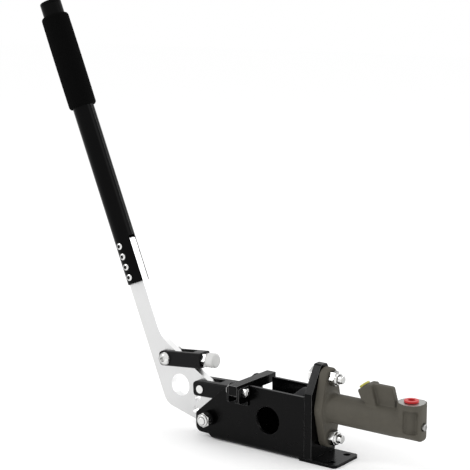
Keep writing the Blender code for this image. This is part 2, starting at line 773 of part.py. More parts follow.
def handle_screw(distance):
    """One domed screw through the tube and the lever plate."""
    seat = -TUBE_DIAMETER / 2 - SEAT
    screw = button_screw((0, seat, distance), (0, 1, 0), HANDLE_SCREW_HEAD, HANDLE_SCREW_HEAD_HEIGHT,
                         HANDLE_SCREW_DIAMETER, TUBE_DIAMETER, HANDLE_SCREW_DIAMETER * 0.6)
    return transformed(screw, tube_frame())


def foam_grip():
    """The foam sleeve with rounded ends."""
    inner = TUBE_DIAMETER / 2 + SEAT
    outer = GRIP_DIAMETER / 2
    radius = min(GRIP_END_RADIUS, outer - inner)
    top = TUBE_LENGTH - GRIP_SETBACK
    bottom = top - GRIP_LENGTH
    lower = []
    for step in range(5):
        angle = step * pi / 8
        lower.append((bottom + radius * (1 - cos(angle)), outer - radius * (1 - sin(angle))))
    upper = [(bottom + top - distance, size) for distance, size in reversed(lower)]
    profile = [(bottom, inner)] + lower + upper + [(top, inner)]
    return transformed(turned(profile, (0, 0, 0), (0, 0, 1), MEDIUM_SEGMENTS, ring=True), tube_frame())


def tube_end_cap():
    """The plug in the top of the tube."""
    insert = TUBE_DIAMETER / 2 - TUBE_WALL - SEAT
    outer = TUBE_DIAMETER / 2
    seat = TUBE_LENGTH + SEAT
    chamfer = CAP_HEIGHT / 3
    profile = [(seat - CAP_INSERT, 0.0), (seat - CAP_INSERT, insert), (seat, insert), (seat, outer),
               (seat + CAP_HEIGHT - chamfer, outer), (seat + CAP_HEIGHT, outer - chamfer),
               (seat + CAP_HEIGHT, 0.0)]
    return transformed(turned(profile, (0, 0, 0), (0, 0, 1), MEDIUM_SEGMENTS), tube_frame())


# Pivot

def pivot_seat(thickness):
    """Distance from the middle plane to the bolt's or the nut's seat on a washer of this thickness."""
    return HALF_CHANNEL + thickness + 2 * SEAT


def pivot_bolt():
    """The pivot bolt, head on the far side."""
    seat = pivot_seat(FAR_WASHER_THICKNESS)
    length = seat + pivot_seat(NEAR_WASHER_THICKNESS) + PIVOT_NUT_HEIGHT + PIVOT_THREAD_PROUD
    return hex_bolt((PIVOT_X, seat, PIVOT_HEIGHT), (0, -1, 0), PIVOT_HEX, PIVOT_HEAD_HEIGHT,
                    PIVOT_BOLT_DIAMETER, length)


def pivot_nut():
    """The self-locking nut on the near side."""
    seat = pivot_seat(NEAR_WASHER_THICKNESS)
    return hex_nut((PIVOT_X, -seat, PIVOT_HEIGHT), (0, -1, 0), PIVOT_HEX, PIVOT_NUT_HEIGHT,
                   PIVOT_BOLT_DIAMETER + 2 * BORE_FIT, LOCK_COLLAR_HEIGHT)


def pivot_washer(side, thickness):
    """The washer against one side plate: a thick black one under the nut, a thin one under the head."""
    return tube((PIVOT_X, side * (HALF_CHANNEL + SEAT), PIVOT_HEIGHT), (0, side, 0), thickness,
                WASHER_DIAMETER, PIVOT_BOLT_DIAMETER + 2 * BORE_FIT, SEGMENTS)


def pivot_bush():
    """The plain bush pressed into the lever."""
    half = LEVER_THICKNESS / 2
    return tube((PIVOT_X, -half, PIVOT_HEIGHT), (0, 1, 0), LEVER_THICKNESS, BUSH_DIAMETER,
                PIVOT_BOLT_DIAMETER + 2 * BORE_FIT)


def pivot_spacer(side):
    """The tube between the lever and one side plate."""
    inner = LEVER_THICKNESS / 2 + SEAT
    length = INNER_HALF - SEAT - inner
    return tube((PIVOT_X, side * inner, PIVOT_HEIGHT), (0, side, 0), length, SPACER_DIAMETER,
                PIVOT_BOLT_DIAMETER + 2 * BORE_FIT)


# Forked pieces

def fork(width, front, rear, slot_end, bolt_diameter, rear_bore, bore_depth):
    """A forked bar along +X with its cross bolt at the origin and a bore in its rear end."""
    half_width = width / 2
    half_height = FORK_HEIGHT / 2
    section = rounded([(-half_width, -half_height, FORK_EDGE), (half_width, -half_height, FORK_EDGE),
                       (half_width, half_height, FORK_EDGE), (-half_width, half_height, FORK_EDGE)], 3)
    bar = prism(section, "X", -front, rear)
    side = rounded([(-front, -half_height, FORK_NOSE), (rear, -half_height, FORK_TAIL),
                    (rear, half_height, FORK_TAIL), (-front, half_height, FORK_NOSE)], 4)
    common(bar, prism(side, "Y", -width, width))
    half_slot = LEVER_THICKNESS / 2 + RUNNING
    cut(bar, block((-2 * front, -half_slot, -FORK_HEIGHT), (slot_end, half_slot, FORK_HEIGHT)))
    cut(bar, rod((0, -width, 0), (0, 1, 0), 2 * width, bolt_diameter + 2 * BORE_FIT))
    cut(bar, rod((rear - bore_depth, 0, 0), (1, 0, 0), 2 * bore_depth, rear_bore))
    return bar


def strut_frame():
    """The matrix of the strut's frame: origin at its bolt, +X along it."""
    place = about_pivot(STRUT_BOLT)
    return Matrix.Translation(Vector((place[0], 0.0, place[1]))) @ Matrix.Rotation(-STRUT_SLOPE, 4, "Y")


def strut_slot_end():
    """Where the lever's sloping rear edge leaves the strut's underside, plus the seat gap."""
    knee = Vector(LEVER_KNEE) - Vector(STRUT_BOLT)
    pin = Vector((CRANK_X, CRANK_Z))
    to_knee = Vector(LEVER_KNEE) - pin
    tangent = atan2(to_knee.y, to_knee.x) - acos(CLEVIS_BOSS_RADIUS / to_knee.length)
    touch = pin + CLEVIS_BOSS_RADIUS * Vector((cos(tangent), sin(tangent))) - Vector(STRUT_BOLT)
    turn = Matrix.Rotation(-STRUT_SLOPE, 2)
    first = turn @ knee
    second = turn @ touch
    share = (-FORK_HEIGHT / 2 - first.y) / (second.y - first.y)
    return first.x + (second.x - first.x) * share + 2 * SEAT


def stop_strut():
    """The forked strut bolted to the lever behind its knee."""
    bar = fork(STRUT_WIDTH, STRUT_FRONT, STRUT_REAR, strut_slot_end(), STRUT_BOLT_DIAMETER,
               STUD_DIAMETER + 2 * BORE_FIT, STUD_IN_STRUT + 2 * SEAT)
    return transformed(bar, strut_frame())


def strut_bolt():
    """The domed bolt through the strut and the lever."""
    seat = STRUT_WIDTH / 2 + SEAT
    length = 2 * seat + STRUT_NUT_HEIGHT + SEAT
    bolt = button_screw((0, -seat, 0), (0, 1, 0), STRUT_HEAD_DIAMETER, STRUT_HEAD_HEIGHT,
                        STRUT_BOLT_DIAMETER, length, STRUT_BOLT_DIAMETER * 0.62)
    return transformed(bolt, strut_frame())


def strut_nut():
    """The nut on the far side of the strut."""
    nut = hex_nut((0, STRUT_WIDTH / 2 + SEAT, 0), (0, 1, 0), PIVOT_HEX, STRUT_NUT_HEIGHT,
                  STRUT_BOLT_DIAMETER + 2 * BORE_FIT)
    return transformed(nut, strut_frame())


def bumper_stud():
    """The threaded stud that carries the bumper."""
    start = STRUT_REAR - STUD_IN_STRUT
    length = STUD_IN_STRUT + BUMPER_NUT_HEIGHT + 2 * SEAT + BUMPER_LENGTH * 0.5
    stud = rod((start, 0, 0), (1, 0, 0), length, STUD_DIAMETER, STUD_DIAMETER / 12)
    return transformed(stud, strut_frame())


def bumper_lock_nut():
    """The thin nut that locks the stud in the strut."""
    nut = hex_nut((STRUT_REAR + SEAT, 0, 0), (1, 0, 0), BUMPER_NUT_HEX, BUMPER_NUT_HEIGHT,
                  STUD_DIAMETER + 2 * BORE_FIT)
    return transformed(nut, strut_frame())


def bumper_pad():
    """The rubber bumper with a rounded rim and a blind bore for its stud."""
    start = STRUT_REAR + BUMPER_NUT_HEIGHT + 2 * SEAT
    radius = BUMPER_DIAMETER / 2
    edge = BUMPER_RIM
    bore = STUD_DIAMETER / 2 + BORE_FIT
    depth = BUMPER_LENGTH * 0.5 + 2 * SEAT
    profile = [(start + depth, 0.0), (start + depth, bore), (start, bore), (start, radius - edge / 3),
               (start + edge / 3, radius)]
    for step in range(5):
        angle = step * pi / 8
        profile.append((start + BUMPER_LENGTH - edge * (1 - sin(angle)), radius - edge * (1 - cos(angle))))
    profile.append((start + BUMPER_LENGTH, 0.0))
    return transformed(turned(profile, (0, 0, 0), (1, 0, 0), MEDIUM_SEGMENTS), strut_frame())


# Pushrod

def rod_frame():
    """The matrix of the pushrod's frame: origin at the clevis pin, +X along the rod."""
    return Matrix.Translation(PIN_POINT) @ Matrix.Rotation(-PUSHROD_SLOPE, 4, "Y")


def pushrod_clevis():
    """The clevis that straddles the lever."""
    bar = fork(CLEVIS_WIDTH, CLEVIS_FRONT, CLEVIS_REAR, CLEVIS_SLOT_END, CLEVIS_PIN_DIAMETER,
               PUSHROD_DIAMETER + 2 * BORE_FIT, PUSHROD_THREAD_IN + 2 * SEAT)
    return transformed(bar, rod_frame())


def clevis_pin():
    """The headed pin, grooved for its clip on the far side."""
    seat = CLEVIS_WIDTH / 2 + SEAT
    radius = CLEVIS_PIN_DIAMETER / 2
    groove = seat + 2 * BORE_FIT
    groove_end = groove + PIN_CLIP_THICKNESS + 2 * BORE_FIT
    end = seat + PIN_PROUD + PIN_CLIP_THICKNESS
    neck = radius * 0.72
    profile = [(-seat - PIN_HEAD_HEIGHT, 0.0), (-seat - PIN_HEAD_HEIGHT, PIN_HEAD_DIAMETER / 2 * 0.9),
               (-seat - PIN_HEAD_HEIGHT * 0.6, PIN_HEAD_DIAMETER / 2), (-seat, PIN_HEAD_DIAMETER / 2),
               (-seat, radius), (groove, radius), (groove, neck), (groove_end, neck), (groove_end, radius),
               (end - radius / 8, radius), (end, radius * 0.85), (end, 0.0)]
    return transformed(turned(profile, (0, 0, 0), (0, 1, 0), SMALL_SEGMENTS), rod_frame())


def clevis_pin_clip():
    """The open clip in the pin's groove."""
    neck = CLEVIS_PIN_DIAMETER / 2 * 0.72 + BORE_FIT
    start = CLEVIS_WIDTH / 2 + SEAT + 3 * BORE_FIT
    gap = radians(55)
    outer = arc((0, 0), PIN_CLIP_DIAMETER / 2, gap, 2 * pi - gap, 18)
    inner = arc((0, 0), neck, 2 * pi - gap * 1.3, gap * 1.3, 18)
    clip = prism(outer + inner, "Y", start, start + PIN_CLIP_THICKNESS)
    return transformed(clip, rod_frame())


def pushrod():
    """The rod from the clevis to its ball end in the piston."""
    ball = PUSHROD_BALL_DIAMETER / 2
    radius = PUSHROD_DIAMETER / 2
    start = CLEVIS_REAR - PUSHROD_THREAD_IN
    neck = PUSHROD_NECK_DIAMETER / 2
    neck_end = PUSHROD_LENGTH - (ball ** 2 - neck ** 2) ** 0.5
    profile = [(start, 0.0), (start, radius * 0.88), (start + radius * 0.12, radius)]
    neck_start = neck_end - PUSHROD_NECK_LENGTH
    profile += [(neck_start - PUSHROD_NECK_SLOPE, radius), (neck_start, neck), (neck_end, neck)]
    first = atan2(neck, -(ball ** 2 - neck ** 2) ** 0.5)
    for step in range(1, 8):
        angle = first * (1 - step / 8)
        profile.append((PUSHROD_LENGTH + ball * cos(angle), ball * sin(angle)))
    profile.append((PUSHROD_LENGTH + ball, 0.0))
    return transformed(turned(profile, (0, 0, 0), (1, 0, 0), SMALL_SEGMENTS), rod_frame())


def pushrod_jam_nut():
    """The thin nut that locks the rod in the clevis."""
    nut = hex_nut((CLEVIS_REAR + SEAT, 0, 0), (1, 0, 0), JAM_NUT_HEX, JAM_NUT_HEIGHT,
                  PUSHROD_DIAMETER + 2 * BORE_FIT)
    return transformed(nut, rod_frame())


# Master cylinder

def flange_outline():
    """The diamond flange, (y, z): a waist circle and two end circles with tangent flanks."""
    centre = (0.0, CYLINDER_HEIGHT)
    reach = FLANGE_BOLT_SPACING / 2
    tilt = acos((FLANGE_WAIST_RADIUS - FLANGE_END_RADIUS) / reach)
    points = arc(centre, FLANGE_WAIST_RADIUS, tilt - pi / 2, pi / 2 - tilt, 6)
    points += arc((0.0, CYLINDER_HEIGHT + reach), FLANGE_END_RADIUS, pi / 2 - tilt, pi / 2 + tilt, 12)
    points += arc(centre, FLANGE_WAIST_RADIUS, pi / 2 + tilt, 3 * pi / 2 - tilt, 6)
    points += arc((0.0, CYLINDER_HEIGHT - reach), FLANGE_END_RADIUS, 3 * pi / 2 - tilt, 3 * pi / 2 + tilt, 12)
    return points


def barrel():
    """The spigot, the barrel and the fillet between the flange and the barrel."""
    spigot = SPIGOT_DIAMETER / 2
    middle = FLANGE_FRONT + FLANGE_THICKNESS / 2
    profile = [(SPIGOT_FRONT, 0.0), (SPIGOT_FRONT, spigot - SPIGOT_EDGE),
               (SPIGOT_FRONT + SPIGOT_EDGE, spigot)]
    profile += [(middle, spigot), (middle, BARREL_RADIUS + BARREL_FILLET)]
    for step in range(5):
        angle = step * pi / 8
        profile.append((FLANGE_REAR + BARREL_FILLET * (1 - cos(angle)),
                        BARREL_RADIUS + BARREL_FILLET * (1 - sin(angle))))
    end = OUTLET_X + OUTLET_RADIUS / 3
    profile += [(OUTLET_X - OUTLET_RADIUS, BARREL_RADIUS), (end, OUTLET_RADIUS - BARREL_BLEND), (end, 0.0)]
    return turned(profile, (0, 0, CYLINDER_HEIGHT), (1, 0, 0), SEGMENTS)


def outlet_block():
    """The end block under the outlet port: a round column, its underside round like the barrel."""
    bottom_radius = BARREL_RADIUS - BARREL_BLEND
    plan = arc((OUTLET_X, 0.0), OUTLET_RADIUS, pi / 2, 3 * pi / 2, 21)
    plan += rounded([(OUTLET_X, -OUTLET_RADIUS, 0.0), (CYLINDER_REAR, -OUTLET_RADIUS, OUTLET_CORNER),
                     (CYLINDER_REAR, OUTLET_RADIUS, OUTLET_CORNER), (OUTLET_X, OUTLET_RADIUS, 0.0)])[1:-1]
    column = prism(plan, "Z", CYLINDER_HEIGHT - BARREL_DIAMETER, OUTLET_TOP)
    section = [(bottom_radius, OUTLET_TOP + SHEET), (-bottom_radius, OUTLET_TOP + SHEET)]
    section += arc((0.0, CYLINDER_HEIGHT), bottom_radius, pi, 2 * pi, 25)
    common(column, prism(section, "X", OUTLET_X - 2 * OUTLET_RADIUS, CYLINDER_REAR + SHEET))
    front = OUTLET_X - 2 * OUTLET_RADIUS
    rear = CYLINDER_REAR + BARREL_BLEND
    low = CYLINDER_HEIGHT - BARREL_RADIUS
    heel = rounded([(front, low, 0.0), (rear, low, OUTLET_HEEL), (rear, OUTLET_TOP + SHEET, 0.0),
                    (front, OUTLET_TOP + SHEET, 0.0)])
    return common(column, prism(heel, "Y", -BARREL_DIAMETER, BARREL_DIAMETER))


def pocket(side):
    """The tool for one side pocket: outside the column and under the port's collar."""
    plan = arc((OUTLET_X, 0.0), POCKET_REACH, POCKET_START, POCKET_STOP, 10)
    plan += arc((OUTLET_X, 0.0), COLUMN_RADIUS, POCKET_STOP, POCKET_START, 10)
    return prism([(x, side * y) for x, y in plan], "Z", CYLINDER_HEIGHT - POCKET_DROP,
                 CYLINDER_HEIGHT + POCKET_RISE)


def port_point(corner):
    """A corner of the reservoir port as (x, z) in the part's frame."""
    return (FLANGE_FRONT + corner[0], CYLINDER_HEIGHT + corner[1])


def port_axis():
    """The middle of the reservoir port's mouth and the direction of its bore, both (x, z)."""
    low = Vector(port_point(PORT_MOUTH_LOW))
    high = Vector(port_point(PORT_MOUTH_HIGH))
    mouth = (high - low).normalized()
    return (low + high) / 2, Vector((mouth.y, -mouth.x))


def reservoir_port():
    """The angled port head and the upright web behind it."""
    head = rounded([
        (*port_point(PORT_MOUTH_LOW), PORT_CORNER),
        (*port_point(PORT_CHIN), PORT_CORNER),
        (*port_point(PORT_CHIN_FOOT), 0.0),
        (*port_point(PORT_HEAD_FOOT), 0.0),
        (*port_point(PORT_HEAD_END), PORT_CORNER),
        (*port_point(PORT_MOUTH_HIGH), PORT_CORNER),
    ], 3)
    foot = PORT_HEAD_FOOT[1]
    web = rounded([
        (*port_point((PORT_WEB_START, foot)), 0.0),
        (*port_point((PORT_WEB_FOOT, foot)), 0.0),
        (*port_point(PORT_WEB_WAIST), 0.0),
        (*port_point((PORT_WEB_END, PORT_WEB_TOP)), PORT_WEB_CORNER),
        (*port_point((PORT_WEB_START, PORT_WEB_TOP)), 0.0),
    ], 3)
    block_head = prism(head, "Y", -PORT_HALF_WIDTH, PORT_HALF_WIDTH)
    return joined(block_head, prism(web, "Y", -PORT_WEB_HALF_WIDTH, PORT_WEB_HALF_WIDTH))


def cylinder_body():
    """The cast body with its bore, ports, circlip groove and bolt holes."""
    along = (1.0, 0.0, 0.0)
    body = prism(flange_outline(), "X", FLANGE_FRONT, FLANGE_REAR)
    joined(body, barrel(), outlet_block(), reservoir_port())
    cut(body, pocket(-1), pocket(1))
    for height in flange_bolt_heights():
        cut(body, rod((FLANGE_FRONT - SHEET, 0, height), along, FLANGE_THICKNESS + BARREL_FILLET + SHEET,
                      FLANGE_BOLT_DIAMETER + 2 * BORE_FIT))
    port_depth = OUTLET_TOP - CYLINDER_HEIGHT + OUTLET_PASSAGE / 2
    cut(body, rod((OUTLET_X, 0, OUTLET_TOP - port_depth), (0, 0, 1), 2 * port_depth, OUTLET_THREAD))
    mouth, direction = port_axis()
    deep = (direction.x, 0.0, direction.y)
    outside = (mouth.x - direction.x * SHEET, 0.0, mouth.y - direction.y * SHEET)
    cut(body, rod(outside, deep, PORT_THREAD_DEPTH + SHEET, PORT_THREAD))
    inside = mouth + direction * PORT_THREAD_DEPTH * 0.9
    passage = (inside.y - CYLINDER_HEIGHT - BORE_RADIUS / 2) / -direction.y
    cut(body, rod((inside.x, 0, inside.y), deep, passage, PORT_PASSAGE, segments=12))
    cut(body, rod((CYLINDER_REAR - BLEED_DEPTH, 0, CYLINDER_HEIGHT), along, 2 * BLEED_DEPTH,
                  BLEED_DIAMETER + 2 * BORE_FIT))
    return cut(body, bore_tool())


def bore_tool():
    """The bore with the circlip's groove and the passage to the outlet port."""
    groove = circlip_front() - BORE_FIT
    groove_end = groove + CIRCLIP_THICKNESS + 2 * BORE_FIT
    deep = BORE_RADIUS + CIRCLIP_GROOVE
    passage = OUTLET_PASSAGE / 2
    start = SPIGOT_FRONT - SHEET
    profile = [(start, 0.0), (start, BORE_RADIUS), (groove, BORE_RADIUS), (groove, deep),
               (groove_end, deep), (groove_end, BORE_RADIUS), (BORE_END, BORE_RADIUS),
               (BORE_END, passage), (OUTLET_X, passage), (OUTLET_X, 0.0)]
    return turned(profile, (0, 0, CYLINDER_HEIGHT), (1, 0, 0), SEGMENTS)


def circlip_front():
    """Front face of the circlip, just ahead of the stop washer."""
    return PISTON_FRONT - STOP_WASHER_THICKNESS - CIRCLIP_THICKNESS - 2 * SEAT


def circlip():
    """The open retaining ring in the bore's groove."""
    outer = BORE_RADIUS + CIRCLIP_GROOVE - BORE_FIT
    inner = outer - CIRCLIP_WIDTH
    gap = radians(20)
    centre = (0.0, CYLINDER_HEIGHT)
    outline = arc(centre, outer, -pi / 2 + gap, 3 * pi / 2 - gap, 24)
    outline += arc(centre, inner, 3 * pi / 2 - gap, -pi / 2 + gap, 24)
    return prism(outline, "X", circlip_front(), circlip_front() + CIRCLIP_THICKNESS)


def piston_stop_washer():
    """The washer that the piston comes back to."""
    start = PISTON_FRONT - SEAT - STOP_WASHER_THICKNESS
    return tube((start, 0, CYLINDER_HEIGHT), (1, 0, 0), STOP_WASHER_THICKNESS,
                BORE_DIAMETER - 2 * BORE_FIT, STOP_WASHER_HOLE)


def seal_starts():
    """Front faces of the secondary and the primary seal groove."""
    return (PISTON_FRONT + PISTON_CUP_DEPTH + SEAL_SETBACK,
            PISTON_REAR - SEAL_SETBACK - SEAL_WIDTH - 2 * BORE_FIT)


def piston():
    """The piston with the pushrod's cup, two seal grooves and a spring seat."""
    radius = BORE_RADIUS - PISTON_CLEARANCE
    cup = PISTON_CUP_DIAMETER / 2
    floor = radius - SEAL_DEPTH
    groove = SEAL_WIDTH + 2 * BORE_FIT
    spigot = SPRING_DIAMETER / 2 - SPRING_WIRE - 2 * BORE_FIT
    profile = [(PISTON_FRONT + PISTON_CUP_DEPTH, 0.0), (PISTON_FRONT + PISTON_CUP_DEPTH, cup),
               (PISTON_FRONT, cup), (PISTON_FRONT, radius - PISTON_EDGE),
               (PISTON_FRONT + PISTON_EDGE, radius)]
    for start in seal_starts():
        profile += [(start, radius), (start, floor), (start + groove, floor), (start + groove, radius)]
    profile += [(PISTON_REAR, radius), (PISTON_REAR, spigot), (PISTON_REAR + PISTON_NOSE, spigot),
                (PISTON_REAR + PISTON_NOSE, 0.0)]
    return turned(profile, (0, 0, CYLINDER_HEIGHT), (1, 0, 0), MEDIUM_SEGMENTS)


def piston_seal(start):
    """A lip seal in its piston groove."""
    outer = BORE_RADIUS - BORE_FIT
    inner = BORE_RADIUS - PISTON_CLEARANCE - SEAL_DEPTH + BORE_FIT
    front = start + BORE_FIT
    rear = front + SEAL_WIDTH
    lip = SEAL_WIDTH / 4
    profile = [(front, inner), (front, outer - lip / 2), (rear - lip, outer), (rear, outer),
               (rear, outer - lip / 2), (rear - lip, (outer + inner) / 2), (rear - lip / 4, inner)]
    return turned(profile, (0, 0, CYLINDER_HEIGHT), (1, 0, 0), MEDIUM_SEGMENTS, ring=True)


def return_spring():
    """The coil spring between the piston and the end of the bore."""
    radius = SPRING_DIAMETER / 2 - SPRING_WIRE / 2
    start = PISTON_REAR + SEAT + SPRING_WIRE / 2
    end = BORE_END - SEAT - SPRING_WIRE / 2
    per_turn = 12
    dead = SPRING_DEAD_TURNS
    pitch = SPRING_WIRE + SEAT
    points = []
    total = SPRING_TURNS * per_turn
    for step in range(total + 1):
        turns = step / per_turn
        live = min(max(turns - dead, 0.0), SPRING_TURNS - 2 * dead) / (SPRING_TURNS - 2 * dead)
        slack = pitch * (min(turns, dead) + max(turns - SPRING_TURNS + dead, 0.0))
        along = start + slack + live * (end - start - pitch * 2 * dead)
        angle = 2 * pi * turns
        points.append(Vector((along, radius * cos(angle), CYLINDER_HEIGHT + radius * sin(angle))))
    return swept(points, SPRING_WIRE / 2, 5)


def dust_boot():
    """The pleated rubber boot over the spigot, with a hole for the pushrod."""
    inner = SPIGOT_DIAMETER / 2 + BORE_FIT
    outer = inner + BOOT_WALL
    back = SPIGOT_FRONT + BOOT_GRIP
    front = back - BOOT_LENGTH
    hole = BOOT_HOLE / 2
    shoulder = SPIGOT_FRONT - SEAT
    reach = shoulder - BOOT_WALL - front
    outside = []
    for fold in range(BOOT_FOLDS):
        for part_way, dip in ((0.5, BOOT_WALL), (1.0, 0.0)):
            share = (fold + part_way) / BOOT_FOLDS
            radius = outer + (hole + BOOT_WALL - outer) * share - dip
            outside.append((shoulder - BOOT_WALL - reach * share, radius))
    inside = [(distance + BOOT_WALL, radius - BOOT_WALL) for distance, radius in reversed(outside)]
    profile = [(back, inner), (back, outer), (shoulder - BOOT_WALL, outer)] + outside
    profile += [(front, hole)] + inside + [(shoulder, inner)]
    return turned(profile, (0, 0, CYLINDER_HEIGHT), (1, 0, 0), MEDIUM_SEGMENTS, ring=True)


def flange_bolt(height):
    """One bolt through the rear plate and the flange, its head inside the bracket."""
    seat = PLATE_FRONT - SEAT
    length = FLANGE_REAR + SEAT + FLANGE_NUT_HEIGHT + FLANGE_THREAD_PROUD - seat
    return hex_bolt((seat, 0, height), (1, 0, 0), FLANGE_HEX, FLANGE_HEAD_HEIGHT,
                    FLANGE_BOLT_DIAMETER, length)


def flange_nut(height):
    """One self-locking nut on the rear of the flange."""
    return hex_nut((FLANGE_REAR + SEAT, 0, height), (1, 0, 0), FLANGE_HEX, FLANGE_NUT_HEIGHT,
                   FLANGE_BOLT_DIAMETER + 2 * BORE_FIT, LOCK_COLLAR_HEIGHT)


def transport_plug(mouth, direction, thread, rim_diameter, depth):
    """A moulded plug in a threaded port, with a rim and a blind recess."""
    outward = Vector(direction).normalized() * -1
    body = thread / 2 - BORE_FIT
    rim = rim_diameter / 2
    recess = body * PLUG_RECESS_SHARE
    top = SEAT + PLUG_RIM_HEIGHT
    profile = [(-depth, 0.0), (-depth, body - BORE_FIT), (-depth + BORE_FIT, body), (SEAT, body), (SEAT, rim),
               (top, rim), (top, recess), (top - PLUG_RECESS_DEPTH, recess), (top - PLUG_RECESS_DEPTH, 0.0)]
    return turned(profile, mouth, outward, SMALL_SEGMENTS)


def outlet_port_plug():
    """The red plug in the outlet port."""
    return transport_plug((OUTLET_X, 0, OUTLET_TOP), (0, 0, -1), OUTLET_THREAD, OUTLET_PLUG_RIM,
                          OUTLET_PLUG_DEPTH)


def reservoir_port_plug():
    """The yellow plug in the reservoir port."""
    mouth, direction = port_axis()
    return transport_plug((mouth.x, 0, mouth.y), (direction.x, 0, direction.y), PORT_THREAD, PORT_PLUG_RIM,
                          PORT_THREAD_DEPTH - PLUG_END_GAP)


def bleed_screw():
    """The small screw in the rear end of the cylinder."""
    start = CYLINDER_REAR - BLEED_DEPTH + SEAT
    return rod((start, 0, CYLINDER_HEIGHT), (1, 0, 0), BLEED_DEPTH - SEAT + BLEED_PROUD, BLEED_DIAMETER,
               BLEED_DIAMETER / 10)


# Swing gate

def gate_bar():
    """The bar across the bracket, with a deeper lug at its hinge end."""
    top = GATE_TOP_HEIGHT
    bottom = top - GATE_THICKNESS
    near = -HALF_CHANNEL - GATE_NEAR_REACH
    far = HALF_CHANNEL + GATE_FAR_REACH
    lug_end = near + GATE_LUG_LENGTH
    lug_bottom = top - GATE_LUG_DEPTH
    outline = rounded([
        (near, lug_bottom, GATE_LUG_CORNER),
        (lug_end, lug_bottom, GATE_EDGE),
        (lug_end, bottom, GATE_EDGE),
        (far, bottom, GATE_EDGE),
        (far, top, GATE_EDGE),
        (near, top, GATE_EDGE),
    ], 3)
    bar = prism(outline, "X", GATE_X, GATE_X + GATE_WIDTH)
    cut(bar, rod((GATE_X - GATE_WIDTH, GATE_AXIS_Y, GATE_BOLT_HEIGHT), (1, 0, 0), 3 * GATE_WIDTH,
                 GATE_BOLT_DIAMETER + 2 * BORE_FIT))
    return bar


def ear_front():
    """Outer face of the hinge bracket's front ear."""
    return GATE_X - SEAT - GATE_EAR_SHEET


def ear_rear():
    """Outer face of the hinge bracket's rear ear."""
    return GATE_X + GATE_WIDTH + SEAT + GATE_EAR_SHEET


def gate_hinge_ears():
    """The folded hinge bracket on the near side plate: two ears and the web that joins them."""
    back = -HALF_CHANNEL - SEAT
    front = -HALF_CHANNEL - GATE_NEAR_REACH
    top = SIDE_HEIGHT
    bottom = top - GATE_EAR_HEIGHT
    ear = rounded([(front, bottom, GATE_EAR_LOW_CORNER), (back, bottom, 0.0), (back, top, 0.0),
                   (front, top, GATE_EAR_TOP_CORNER)], 4)
    ears = [prism(ear, "X", start, start + GATE_EAR_SHEET)
            for start in (ear_front(), ear_rear() - GATE_EAR_SHEET)]
    web_bottom = bottom - GATE_WEB_DROP
    web = block((ear_front(), back - GATE_EAR_SHEET, web_bottom),
                (ear_rear(), back, web_bottom + GATE_WEB_HEIGHT))
    bracket = joined(web, *ears)
    cut(bracket, rod((GATE_X - GATE_WIDTH, GATE_AXIS_Y, GATE_BOLT_HEIGHT), (1, 0, 0), 3 * GATE_WIDTH,
                     GATE_BOLT_DIAMETER + 2 * BORE_FIT))
    return bracket


def gate_hinge_bolt():
    """The hinge bolt, head on the front ear."""
    seat = ear_front() - SEAT
    length = ear_rear() + SEAT + GATE_NUT_HEIGHT + GATE_THREAD_PROUD - seat
    return hex_bolt((seat, GATE_AXIS_Y, GATE_BOLT_HEIGHT), (1, 0, 0), GATE_HEX, GATE_HEAD_HEIGHT,
                    GATE_BOLT_DIAMETER, length)


def gate_hinge_nut():
    """The self-locking nut on the rear ear."""
    return hex_nut((ear_rear() + SEAT, GATE_AXIS_Y, GATE_BOLT_HEIGHT), (1, 0, 0), GATE_HEX,
                   GATE_NUT_HEIGHT, GATE_BOLT_DIAMETER + 2 * BORE_FIT, GATE_NUT_HEIGHT / 4)


# Assembly

